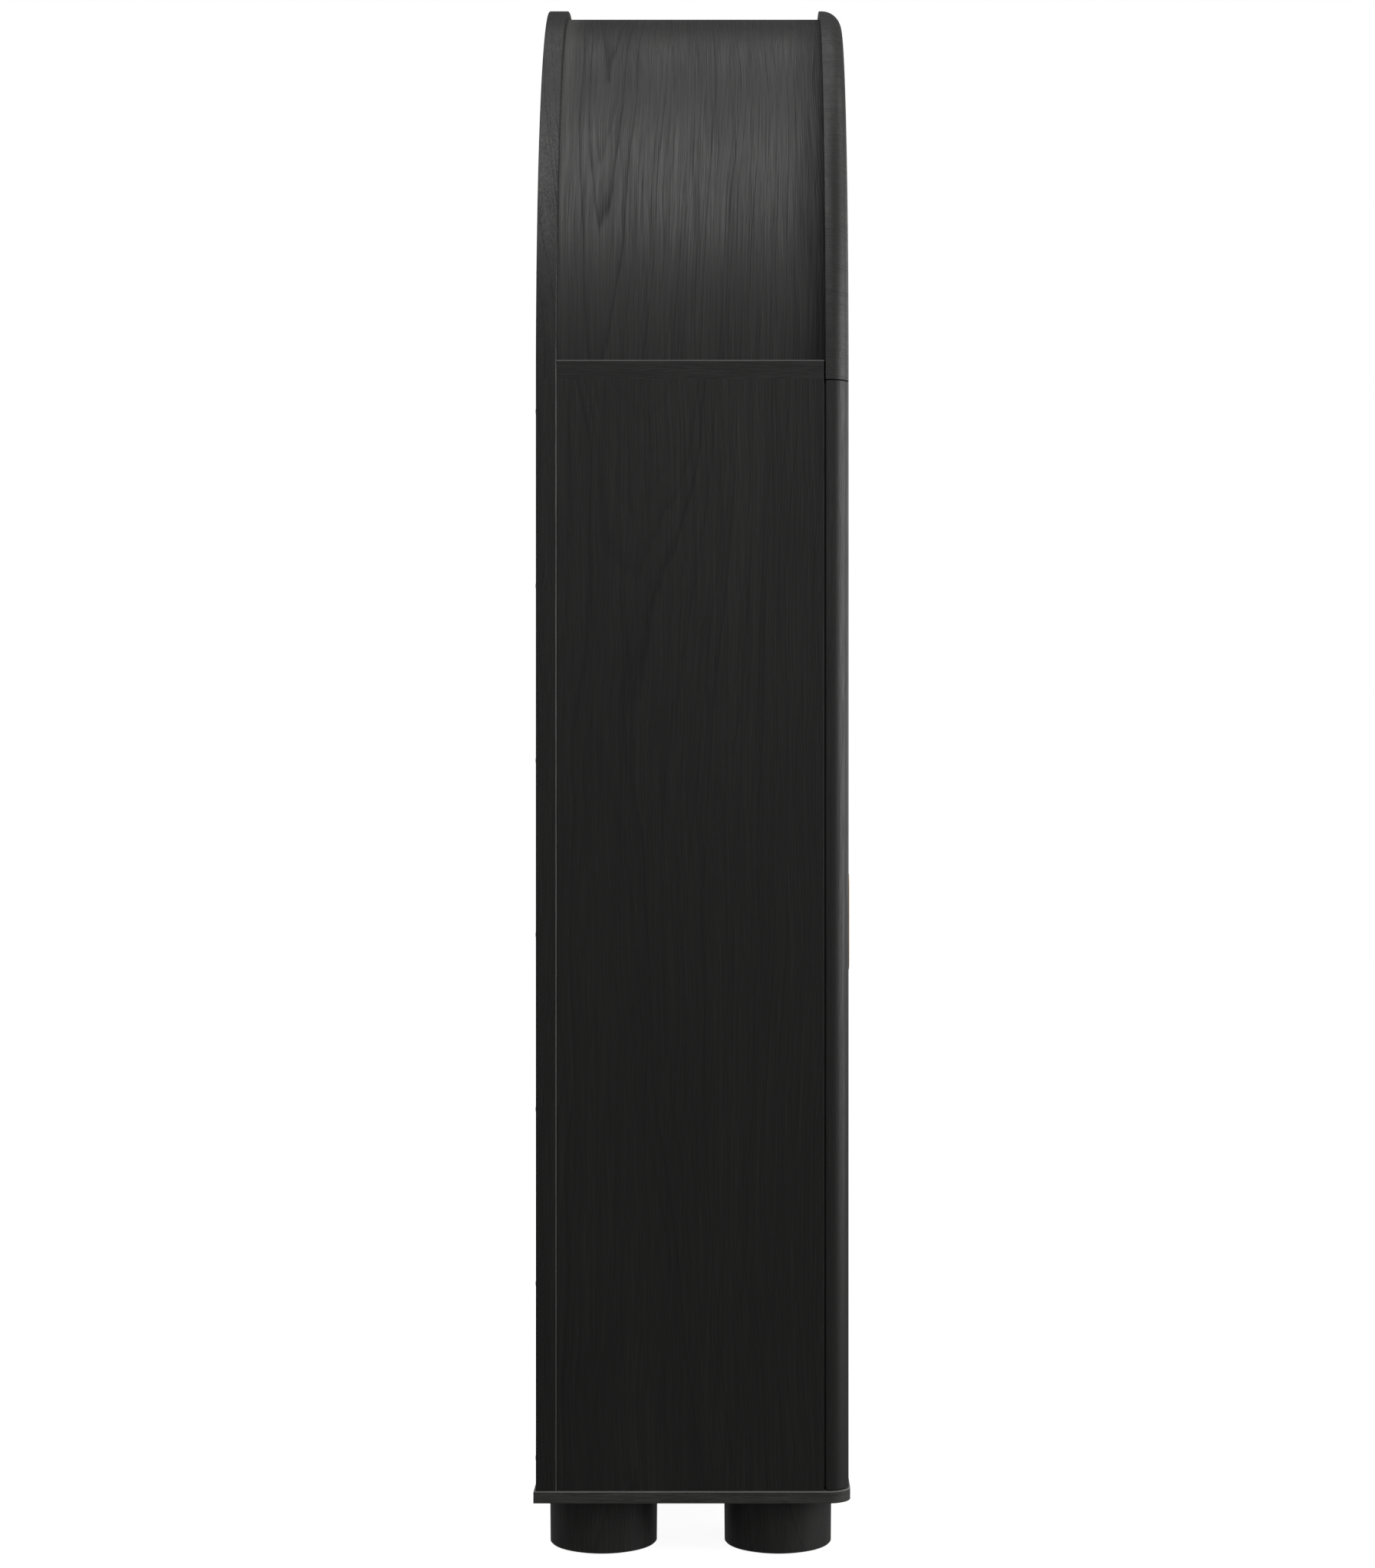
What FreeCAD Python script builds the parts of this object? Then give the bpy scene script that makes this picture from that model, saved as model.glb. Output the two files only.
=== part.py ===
import FreeCAD, Part

import math
import os

# Grandfather clock: an arched black wooden case on four drum feet, with a glazed trunk door,
# a round hinged bezel over the dial, and a weight-driven movement with a seconds pendulum.
# Millimetres. +Z is up, the front faces -Y, and the origin is on the floor under the middle.

# Outside of the case
height = 2030.0
half_width = 338.0
front_y = -198.0            # front face of the door and of the hood's front arch
rear_y = 197.0              # rear face of the back panel
foot_height = 70.0
plinth_thick = 15.0
trunk_height = 1400.0
front_thick = 30.0          # door and front arch
back_thick = 26.0           # back panel and back arch
back_proud = 1.0            # how far they stand out past the case sides
front_round = 26.0          # round-over along the front edges
shadow_gap = 2.0            # gap between the door's back face and the case sides
edge_break = 0.8            # small chamfer on the board edges
seam_break = 1.2            # chamfer along the seams that show from the side

# Plinth and feet
plinth_half_x = 341.0
plinth_half_y = 200.0
plinth_corner = 28.0
plinth_edge_break = 1.2
foot_top_radius = 69.0
foot_bottom_radius = 68.4
foot_edge_break = 1.5
foot_centre_x = 255.0
foot_front_y = -109.0
foot_rear_y = 115.0
pad_radius = 60.0
pad_thick = 2.0

# Wall bracket, across the back panel
bracket_z = 1395.0
bracket_half_x = 46.0
bracket_half_z = 16.0
bracket_corner = 6.0
bracket_spacing = 60.0      # between its two fixing holes
bracket_hole_radius = 3.0

# Trunk and hood boards
side_thick = 20.0
floor_thick = 18.0
top_board_thick = 22.0
base_board_thick = 24.0
barrel_recess = 11.0
barrel_thick = 10.0
well_half_x = 120.0         # opening that the pendulum and the cable pass through
well_front_y = -136.0
well_rear_y = 90.0

# Trunk door
door_gap = 1.5
stile_width = 62.0
top_rail_height = 80.0
bottom_rail_height = 110.0
rebate_width = 8.0
pane_front_y = -184.0
pane_thick = 4.0
bead_thick = 10.0
pull_width = 24.0
pull_height = 120.0
pull_depth = 12.5
pull_wall = 1.5
pull_inset = 41.0           # from the door's edge to the middle of the pull
pull_z = 800.0
magnet_width = 16.0
magnet_depth = 14.4
magnet_height = 50.0
magnet_proud = 0.4          # how far the magnet stands in front of the side board
strike_width = 14.0
strike_height = 40.0
strike_thick = 1.2

# Door hinges, on the right-hand side
hinge_knuckle_radius = 3.0
hinge_pin_radius = 1.5
hinge_length = 90.0
hinge_leaf_width = 20.0
hinge_leaf_clear = 1.5      # from the door's edge to the leaves' outer edge
hinge_heights = (260.0, 785.0, 1310.0)
running_gap = 0.05          # radial clearance of every shaft in its hole
part_gap = 0.3              # side clearance between pieces that pass each other

# Dial and bezel
dial_z = 1743.0
dial_radius = 214.0
dial_thick = 3.0
dial_opening_radius = 196.0
dial_hole_radius = 6.0      # for the hour pipe, and for the winding square
marker_thick = 1.2
marker_outer_radius = 180.0
marker_inner_radius, marker_half = 160.0, 2.0
quarter_inner_radius, quarter_half = 150.0, 3.4
bezel_rebate_radius = 206.0
bezel_rebate_y = -184.0
bezel_outer_radius = 205.4
bezel_inner_radius = 187.0
bezel_front_y = -197.5
bezel_back_y = -186.0
bezel_glass_radius = 190.9
bezel_glass_thick = 3.0
bezel_glass_seat = 7.0      # from the bezel's back face to the front of its glass
bezel_hinge_radius = 2.0
bezel_pin_radius = 1.0
bezel_hinge_length = 44.0
bezel_leaf_width = 16.0

# Hands
hand_thick = 1.6
hour_hand_y, hour_hand_length, hour_hand_tail = -176.0, 104.0, 24.0
hour_root, hour_tip, hour_hub_radius = 5.0, 2.4, 10.0
minute_hand_y, minute_hand_length, minute_hand_tail = -182.0, 150.0, 34.0
minute_root, minute_tip, minute_hub_radius = 4.0, 1.7, 8.0
minute_angle = 54.0         # clockwise from twelve: the hands show nine minutes past ten
hour_angle = 300.0 + minute_angle / 12
hand_nut_radius = 5.0
hand_nut_thick = 3.5

# Movement
plate_thick = 3.0
front_plate_y = -130.0
back_plate_y = -77.0
plate_half_x = 62.0
seat_top_z = 1625.0
plate_top_z = 1864.0
seat_thick = 18.0
seat_half_x = 150.0
seat_front_y = -140.0
seat_rear_y = -4.0
plate_corner = 10.0
pillar_radius = 4.0
pillar_x = 52.0
pillar_inset = 14.0         # from the plates' top and bottom edges
seat_notch_half_x = 40.0
cable_hole_radius = 3.0
arbor_radius = 2.0
pivot_radius = 1.2
drum_arbor_radius = 3.0
cannon_outer = 3.0
pipe_outer = 5.0
great_module = 1.0
train_module = 0.9
great_teeth, centre_teeth, third_teeth, leaves = 96, 64, 60, 8
cannon_teeth, motion_teeth, motion_leaves, hour_teeth = 16, 48, 12, 48
cannon_module = 0.75
hour_module = 0.8
escape_teeth = 30
escape_radius = 24.0
escape_tooth_depth = 4.0
pallet_drop = 34.0          # escape arbor to pallet arbor
window_share = 0.56         # a wheel's window centres, as a share of its pitch radius
window_size = 0.23          # and the windows' radius
fork_z = 1750.0             # where the crutch meets the pendulum rod

# Front and back face of each wheel and pinion
great_wheel_y, great_pinion_y = (-123, -120), (-125, -117)
centre_wheel_y, centre_pinion_y = (-108, -106), (-111, -103)
third_wheel_y, third_pinion_y = (-96, -94), (-99, -91)
escape_wheel_y, anchor_y = (-86, -84), (-87, -83)
cannon_pinion_y, motion_wheel_y = (-136, -132), (-135, -133)
motion_pinion_y, hour_wheel_y = (-142, -135), (-141, -139)
drum_y = (-116, -86)

# Pendulum, weight and cable
pendulum_length = 994.0     # suspension to the middle of the bob: a one-second beat
pendulum_y = -50.0
rod_radius = 5.0
rod_head_half = 7.0
bob_rim_half = 2.0
rating_nut_radius = 12.0
rating_nut_height = 10.0
bob_radius = 85.0
bob_thick = 30.0
cable_radius = 0.7
cable_y = -101.0
drum_radius = 18.0
drum_flange_radius = 20.5
drum_flange_thick = 2.0
square_half = 2.1           # half the width of the winding square
pulley_half = 4.0
pulley_rim = 2.5            # how far the pulley's rims stand over its groove
weight_radius = 26.0
weight_length = 230.0
weight_hang = 46.0          # pulley axle to the top of the weight
cap_thick = 6.0
cap_proud = 1.5
pulley_z = 1250.0

# Worked out from the above
back_half = half_width + back_proud
plinth_top_z = foot_height + plinth_thick
trunk_top_z = plinth_top_z + trunk_height
door_back_y = front_y + front_thick
side_front_y = door_back_y + shadow_gap
back_y = rear_y - back_thick
inner_half_x = half_width - side_thick
arch_rise = height - trunk_top_z
base_board_top_z = trunk_top_z + base_board_thick
seat_bottom_z = seat_top_z - seat_thick
door_bottom_z = plinth_top_z + door_gap
door_top_z = trunk_top_z - door_gap
pane_half_x = half_width - stile_width
pane_bottom_z = door_bottom_z + bottom_rail_height
pane_top_z = door_top_z - top_rail_height
hinge_x = half_width
hinge_y = door_back_y + shadow_gap / 2
drum_z = dial_z - great_module * (great_teeth + leaves) / 2
third_z = dial_z + train_module * (centre_teeth + leaves) / 2
escape_z = third_z + train_module * (third_teeth + leaves) / 2
pallet_z = escape_z + pallet_drop
motion_x = cannon_module * (cannon_teeth + motion_teeth) / 2
cable_x = drum_radius + cable_radius
bob_z = pallet_z - pendulum_length
train_front_y = front_plate_y + plate_thick
weight_top_z = pulley_z - weight_hang

UP = FreeCAD.Vector(0, 0, 1)
BACK = FreeCAD.Vector(0, 1, 0)


def save(node, *solids):
    """Writes one sub-part, made of one solid or of several separate ones."""
    shape = solids[0] if len(solids) == 1 else Part.makeCompound(list(solids))
    shape.exportStep(f"parts/{node}.step")


def box(x0, x1, y0, y1, z0, z1):
    return Part.makeBox(x1 - x0, y1 - y0, z1 - z0, FreeCAD.Vector(x0, y0, z0))


def rod_y(x, z, radius, y0, y1):
    """Cylinder along Y."""
    return Part.makeCylinder(radius, y1 - y0, FreeCAD.Vector(x, y0, z), BACK)


def rod_z(x, y, radius, z0, z1):
    """Cylinder along Z."""
    return Part.makeCylinder(radius, z1 - z0, FreeCAD.Vector(x, y, z0), UP)


def turned_y(x, z, points):
    """Solid turned about an axis along Y. Each point is (radius, y)."""
    corners = [FreeCAD.Vector(x + r, y, z) for r, y in points]
    face = Part.Face(Part.makePolygon(corners + corners[:1]))
    return face.revolve(FreeCAD.Vector(x, 0, z), BACK, 360)


def prism_y(points, y0, y1):
    """Flat outline of (x, z) points, extruded from y0 to y1."""
    corners = [FreeCAD.Vector(x, y0, z) for x, z in points]
    face = Part.Face(Part.makePolygon(corners + corners[:1]))
    return face.extrude(FreeCAD.Vector(0, y1 - y0, 0))


def at_angle(radius, degrees, x=0.0, z=dial_z):
    """The (x, z) point on a circle, clockwise from twelve o'clock as seen from the front."""
    angle = math.radians(degrees)
    return x + radius * math.sin(angle), z + radius * math.cos(angle)


def edges_near(shape, test):
    """The edges whose two ends and middle all pass the test."""
    found = []
    for edge in shape.Edges:
        middle = edge.valueAt((edge.FirstParameter + edge.LastParameter) / 2)
        if all(test(p) for p in [v.Point for v in edge.Vertexes] + [middle]):
            found.append(edge)
    return found


def close(a, b):
    return abs(a - b) < 0.01


def broken(board, test, size=edge_break):
    """The board with a small chamfer on the edges that pass the test."""
    return board.makeChamfer(size, edges_near(board, test))


# ---------------------------------------------------------------- feet and plinth

def make_feet():
    places = {"front_left": (-1, foot_front_y), "front_right": (1, foot_front_y),
              "rear_left": (-1, foot_rear_y), "rear_right": (1, foot_rear_y)}
    pads = []
    for place, (side, y) in places.items():
        x = side * foot_centre_x
        base = FreeCAD.Vector(x, y, pad_thick)
        drum = Part.makeCone(foot_bottom_radius, foot_top_radius, foot_height - pad_thick, base)
        save(f"foot_{place}", broken(drum, lambda p: close(p.z, pad_thick), foot_edge_break))
        pads.append(rod_z(x, y, pad_radius, 0, pad_thick))
    save("foot_pads", *pads)


def make_plinth():
    board = box(-plinth_half_x, plinth_half_x, -plinth_half_y, plinth_half_y,
                foot_height, plinth_top_z)
    corners = edges_near(board, lambda p: close(p.y, -plinth_half_y)
                         and close(abs(p.x), plinth_half_x))
    board = board.makeFillet(plinth_corner, corners)
    save("plinth_board", broken(board, lambda p: close(p.z, plinth_top_z), plinth_edge_break))


# ---------------------------------------------------------------- trunk

def bracket_holes():
    """The two holes that take the wall fixing, through the bracket and the back panel."""
    return [rod_y(side * bracket_spacing / 2, bracket_z, bracket_hole_radius,
                  back_y - 1, plinth_half_y + 1) for side in (-1, 1)]


def make_trunk():
    for name, side in (("left", -1), ("right", 1)):
        x0, x1 = sorted((side * inner_half_x, side * half_width))
        board = box(x0, x1, side_front_y, back_y, plinth_top_z, trunk_top_z)
        board = broken(board, lambda p: close(abs(p.x), half_width)
                       and (close(p.y, side_front_y) or close(p.y, back_y)))
        if side > 0:
            for z in hinge_heights:
                board = board.cut(hinge_relief(z))
        save(f"trunk_side_{name}", board)
    back = box(-back_half, back_half, back_y, rear_y, plinth_top_z, trunk_top_z)
    back = broken(back, lambda p: close(abs(p.x), back_half) and close(p.y, rear_y))
    back = broken(back, lambda p: close(abs(p.x), back_half) and close(p.y, back_y), seam_break)
    for hole in bracket_holes():
        back = back.cut(hole)
    save("trunk_back_panel", back)
    save("trunk_floor_board", box(-inner_half_x, inner_half_x, side_front_y, back_y,
                                  plinth_top_z, plinth_top_z + floor_thick))
    top = box(-inner_half_x, inner_half_x, side_front_y, back_y,
              trunk_top_z - top_board_thick, trunk_top_z)
    save("trunk_top_board", top.cut(well()))


def well():
    """The opening from the hood down into the trunk."""
    return box(-well_half_x, well_half_x, well_front_y, well_rear_y,
               trunk_top_z - 50, base_board_top_z + 50)


def make_wall_bracket():
    plate = box(-bracket_half_x, bracket_half_x, rear_y, plinth_half_y,
                bracket_z - bracket_half_z, bracket_z + bracket_half_z)
    corners = edges_near(plate, lambda p: close(abs(p.x), bracket_half_x)
                         and close(abs(p.z - bracket_z), bracket_half_z))
    plate = plate.makeFillet(bracket_corner, corners)
    for hole in bracket_holes():
        plate = plate.cut(hole)
    save("wall_bracket", plate)


# ---------------------------------------------------------------- hood

def half_ellipse(half_x, rise, y0, y1, base_z=trunk_top_z):
    """Upright half-ellipse plate that springs from the trunk's top, from base_z upwards."""
    centre = FreeCAD.Vector(0, y0, trunk_top_z)
    ellipse = Part.Ellipse(centre + FreeCAD.Vector(0, 0, rise),
                           centre + FreeCAD.Vector(half_x, 0, 0), centre)
    plate = Part.Face(Part.Wire(ellipse.toShape())).extrude(FreeCAD.Vector(0, y1 - y0, 0))
    return plate.common(box(-half_x - 1, half_x + 1, y0 - 1, y1 + 1, base_z, height + 1))


def on_arch(p, half_x=half_width):
    """True on the arch's outer outline."""
    return close((p.x / half_x) ** 2 + ((p.z - trunk_top_z) / arch_rise) ** 2, 1)


def make_hood():
    base = box(-half_width, half_width, side_front_y, back_y, trunk_top_z, base_board_top_z)
    base = broken(base, lambda p: close(abs(p.x), half_width) and close(p.z, base_board_top_z),
                  seam_break)
    save("hood_base_board", base.cut(well()))

    outer = half_ellipse(half_width - barrel_recess, arch_rise - barrel_recess,
                         door_back_y, back_y, base_board_top_z)
    inner = half_ellipse(half_width - barrel_recess - barrel_thick,
                         arch_rise - barrel_recess - barrel_thick,
                         door_back_y - 1, back_y + 1, base_board_top_z - 1)
    save("hood_barrel", outer.cut(inner))

    back = half_ellipse(back_half, arch_rise, back_y, rear_y)
    back = broken(back, lambda p: on_arch(p, back_half) and close(p.y, rear_y))
    back = broken(back, lambda p: on_arch(p, back_half) and close(p.y, back_y), seam_break)
    save("hood_back_arch", back)

    front = half_ellipse(half_width, arch_rise, front_y, door_back_y)
    front = front.makeFillet(front_round, edges_near(
        front, lambda p: on_arch(p) and close(p.y, front_y)))
    front = front.cut(rod_y(0, dial_z, dial_opening_radius, front_y - 1, door_back_y + 1))
    front = front.cut(rod_y(0, dial_z, bezel_rebate_radius, front_y - 1, bezel_rebate_y))
    half = bezel_hinge_length / 2 + part_gap
    front = front.cut(rod_z(bezel_rebate_radius, front_y, bezel_hinge_radius + part_gap,
                            dial_z - half, dial_z + half))
    save("hood_front_arch", front)


# ---------------------------------------------------------------- trunk door

def hinge_relief(z):
    """Groove for a door hinge's knuckles."""
    return rod_z(hinge_x, hinge_y, hinge_knuckle_radius + part_gap,
                 z - hinge_length / 2 - part_gap, z + hinge_length / 2 + part_gap)


def make_door_hinges():
    case_leaves, door_leaves, pins = [], [], []
    third = hinge_length / 3
    for z in hinge_heights:
        low, high = z - hinge_length / 2, z + hinge_length / 2
        inner_x, outer_x = hinge_x - hinge_leaf_width, hinge_x - hinge_leaf_clear
        case_leaf = box(inner_x, outer_x, hinge_y + 0.05, side_front_y, low, high)
        door_leaf = box(inner_x, outer_x, door_back_y, hinge_y - 0.05, low, high)
        spans = [(low, low + third), (low + third, high - third), (high - third, high)]
        for index, (z0, z1) in enumerate(spans):
            knuckle = rod_z(hinge_x, hinge_y, hinge_knuckle_radius, z0 + 0.1, z1 - 0.1)
            room = rod_z(hinge_x, hinge_y, hinge_knuckle_radius + part_gap, z0 - 0.1, z1 + 0.1)
            if index == 1:
                case_leaf, door_leaf = case_leaf.fuse(knuckle), door_leaf.cut(room)
            else:
                case_leaf, door_leaf = case_leaf.cut(room), door_leaf.fuse(knuckle)
        bore = rod_z(hinge_x, hinge_y, hinge_pin_radius, low - 1, high + 1)
        wide_bore = rod_z(hinge_x, hinge_y, hinge_pin_radius + running_gap, low - 1, high + 1)
        case_leaves.append(case_leaf.cut(bore))
        door_leaves.append(door_leaf.cut(wide_bore))
        pins.append(rod_z(hinge_x, hinge_y, hinge_pin_radius, low, high))
    save("door_hinge_case_leaves", *case_leaves)
    save("door_hinge_door_leaves", *door_leaves)
    save("door_hinge_pins", *pins)


def slot_outline(width, tall, y0, y1):
    """Upright round-ended slot in the left stile, for the pull."""
    x = -half_width + pull_inset
    radius = width / 2
    straight = tall / 2 - radius
    middle = box(x - radius, x + radius, y0, y1, pull_z - straight, pull_z + straight)
    ends = [rod_y(x, pull_z + end * straight, radius, y0, y1) for end in (-1, 1)]
    return middle.fuse(ends).removeSplitter()


def make_door():
    pane_cut = box(-pane_half_x - rebate_width, pane_half_x + rebate_width,
                   pane_front_y, door_back_y + 1,
                   pane_bottom_z - rebate_width, pane_top_z + rebate_width)
    for name, side in (("left", -1), ("right", 1)):
        x0, x1 = sorted((side * pane_half_x, side * half_width))
        stile = box(x0, x1, front_y, door_back_y, door_bottom_z, door_top_z)
        outer = edges_near(stile, lambda p: close(p.y, front_y) and close(abs(p.x), half_width))
        stile = stile.makeFillet(front_round, outer)
        stile = broken(stile, lambda p: close(p.y, door_back_y) and close(abs(p.x), half_width))
        stile = stile.cut(pane_cut)
        if side < 0:
            stile = stile.cut(slot_outline(pull_width, pull_height,
                                           front_y - 1, front_y + pull_depth))
        else:
            for z in hinge_heights:
                stile = stile.cut(hinge_relief(z))
        save(f"door_stile_{name}", stile)
    for name, z0, z1 in (("bottom", door_bottom_z, pane_bottom_z),
                         ("top", pane_top_z, door_top_z)):
        rail = box(-pane_half_x, pane_half_x, front_y, door_back_y, z0, z1)
        save(f"door_rail_{name}", rail.cut(pane_cut))

    glass_half_x = pane_half_x + rebate_width - 0.5
    glass_low, glass_high = pane_bottom_z - rebate_width + 0.5, pane_top_z + rebate_width - 0.5
    pane_back_y = pane_front_y + pane_thick
    save("door_glass", box(-glass_half_x, glass_half_x, pane_front_y, pane_back_y,
                           glass_low, glass_high))
    bead_back_y = pane_back_y + bead_thick
    outer_x = pane_half_x + rebate_width
    beads = [box(-outer_x, -pane_half_x, pane_back_y, bead_back_y, glass_low, glass_high),
             box(pane_half_x, outer_x, pane_back_y, bead_back_y, glass_low, glass_high)]
    for z0, z1 in ((glass_low, pane_bottom_z), (pane_top_z, glass_high)):
        beads.append(box(-pane_half_x, pane_half_x, pane_back_y, bead_back_y, z0, z1))
    save("door_glass_beads", *beads)

    cup = slot_outline(pull_width, pull_height, front_y, front_y + pull_depth)
    hollow = slot_outline(pull_width - 2 * pull_wall, pull_height - 2 * pull_wall,
                          front_y - 1, front_y + pull_depth - pull_wall)
    save("door_pull", cup.cut(hollow))


def make_door_catch():
    """Magnetic catch: a magnet block on the left side board and a strike plate on the door."""
    magnet_front_y = side_front_y - magnet_proud
    save("door_magnet", box(-inner_half_x, -inner_half_x + magnet_width,
                            magnet_front_y, magnet_front_y + magnet_depth,
                            pull_z - magnet_height / 2, pull_z + magnet_height / 2))
    strike_x = -inner_half_x + (magnet_width - strike_width) / 2
    save("door_strike_plate", box(strike_x, strike_x + strike_width,
                                  door_back_y, door_back_y + strike_thick,
                                  pull_z - strike_height / 2, pull_z + strike_height / 2))


# ---------------------------------------------------------------- dial and bezel

def make_dial():
    plate = rod_y(0, dial_z, dial_radius, door_back_y, door_back_y + dial_thick)
    for z in (dial_z, drum_z):
        plate = plate.cut(rod_y(0, z, dial_hole_radius, door_back_y - 1, door_back_y + 9))
    save("dial_plate", plate)
    markers = []
    for hour in range(12):
        inner, half = marker_inner_radius, marker_half
        if hour % 3 == 0:
            inner, half = quarter_inner_radius, quarter_half
        bar = box(-half, half, door_back_y - marker_thick, door_back_y,
                  dial_z + inner, dial_z + marker_outer_radius)
        bar.rotate(FreeCAD.Vector(0, 0, dial_z), BACK, hour * 30)
        markers.append(bar)
    save("hour_markers", *markers)


def make_bezel():
    glass_front_y = bezel_back_y - bezel_glass_seat
    glass_room = bezel_glass_radius + 0.1
    ring = turned_y(0, dial_z, [(bezel_inner_radius, bezel_front_y + 3.0),
                                (bezel_inner_radius + 4.0, bezel_front_y),
                                (bezel_outer_radius - 2.0, bezel_front_y),
                                (bezel_outer_radius, bezel_front_y + 2.0),
                                (bezel_outer_radius, bezel_back_y),
                                (glass_room, bezel_back_y),
                                (glass_room, glass_front_y),
                                (bezel_inner_radius, glass_front_y)])
    span = bezel_hinge_length / 3
    low = dial_z - bezel_hinge_length / 2
    ears = []
    case_leaf = box(bezel_rebate_radius, bezel_rebate_radius + bezel_leaf_width,
                    front_y - 1, front_y, low, low + 3 * span)
    for index in range(3):
        z0, z1 = low + index * span, low + (index + 1) * span
        knuckle = rod_z(bezel_rebate_radius, front_y, bezel_hinge_radius, z0 + 0.1, z1 - 0.1)
        if index == 1:
            case_leaf = case_leaf.fuse(knuckle)
        else:
            room = rod_z(bezel_rebate_radius, front_y, bezel_hinge_radius + part_gap,
                         z0 - 0.1, z1 + 0.1)
            case_leaf = case_leaf.cut(room)
            web = box(bezel_outer_radius - 13, bezel_rebate_radius - 1, front_y - 0.5,
                      bezel_front_y + 0.5, z0 + 0.1, z1 - 0.1)
            ears.append(knuckle.fuse(web))
    bore = rod_z(bezel_rebate_radius, front_y, bezel_pin_radius + running_gap,
                 low - 1, low + 3 * span + 1)
    pin = rod_z(bezel_rebate_radius, front_y, bezel_pin_radius, low, low + 3 * span)
    room = rod_z(bezel_rebate_radius, front_y, bezel_hinge_radius + part_gap,
                 low + span - 0.2, low + 2 * span + 0.2)
    save("bezel_ring", ring.fuse(ears).cut(bore).cut(room))
    save("bezel_hinge", case_leaf.fuse(pin))
    save("bezel_glass", rod_y(0, dial_z, bezel_glass_radius, glass_front_y,
                              glass_front_y + bezel_glass_thick))


# ---------------------------------------------------------------- hands

def hand(degrees, length, tail, root, tip, y0, hub_radius, bore):
    """Tapered baton hand with a round hub and a short tail, pointing at an angle."""
    y1 = y0 + hand_thick
    waist = root * 1.15
    outline = [(-root, -tail), (root, -tail), (waist, 0), (root, length * 0.3), (tip, length),
               (0, length + tip * 2), (-tip, length), (-root, length * 0.3), (-waist, 0)]
    blade = prism_y([(x, dial_z + z) for x, z in outline], y0, y1)
    blade.rotate(FreeCAD.Vector(0, 0, dial_z), BACK, degrees)
    hub = rod_y(0, dial_z, hub_radius, y0, y1)
    return blade.fuse(hub).cut(rod_y(0, dial_z, bore, y0 - 1, y1 + 1)).removeSplitter()


def make_hands():
    save("hour_hand", hand(hour_angle, hour_hand_length, hour_hand_tail, hour_root, hour_tip,
                           hour_hand_y, hour_hub_radius, pipe_outer))
    save("minute_hand", hand(minute_angle, minute_hand_length, minute_hand_tail, minute_root,
                             minute_tip, minute_hand_y, minute_hub_radius, cannon_outer))
    bore, front = arbor_radius + running_gap, minute_hand_y - hand_nut_thick
    nut = turned_y(0, dial_z, [(bore, front), (hand_nut_radius - 1.4, front),
                               (hand_nut_radius, front + 1.5), (hand_nut_radius, minute_hand_y),
                               (bore, minute_hand_y)])
    save("hand_nut", nut)


# ---------------------------------------------------------------- wheels

def gear(teeth, module, x, z, faces, degrees, bore=0.0, windows=0):
    """Toothed wheel with one tooth at the given angle, and round windows in its web."""
    y0, y1 = faces
    pitch_radius = teeth * module / 2
    tip, root = pitch_radius + 0.75 * module, pitch_radius - 1.25 * module
    pitch = 360.0 / teeth
    corners = ((root, -0.24), (tip, -0.10), (tip, 0.10), (root, 0.24))
    points = [at_angle(radius, degrees + (tooth + share) * pitch, x, z)
              for tooth in range(teeth) for radius, share in corners]
    wheel = prism_y(points, y0, y1)
    for window in range(windows):
        wx, wz = at_angle(pitch_radius * window_share, degrees + window * 360.0 / windows, x, z)
        wheel = wheel.cut(rod_y(wx, wz, pitch_radius * window_size, y0 - 1, y1 + 1))
    if bore:
        wheel = wheel.cut(rod_y(x, z, bore, y0 - 1, y1 + 1))
    return wheel


def half_pitch(teeth):
    return 180.0 / teeth


def arbor(z, y0, y1):
    """Arbor between the plates, with a thinner pivot at each end."""
    shaft = rod_y(0, z, arbor_radius, train_front_y + 0.5, back_plate_y - 0.5)
    return shaft.fuse(rod_y(0, z, pivot_radius, y0, y1))


def escape_toothing():
    """Outline of the escape wheel's raked teeth."""
    pitch = 360.0 / escape_teeth
    root = escape_radius - escape_tooth_depth
    corners = ((root, 0.0), (escape_radius, -0.15), (escape_radius, 0.02), (root, 0.45))
    return [at_angle(radius, (tooth + share) * pitch, 0, escape_z)
            for tooth in range(escape_teeth) for radius, share in corners]


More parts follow.
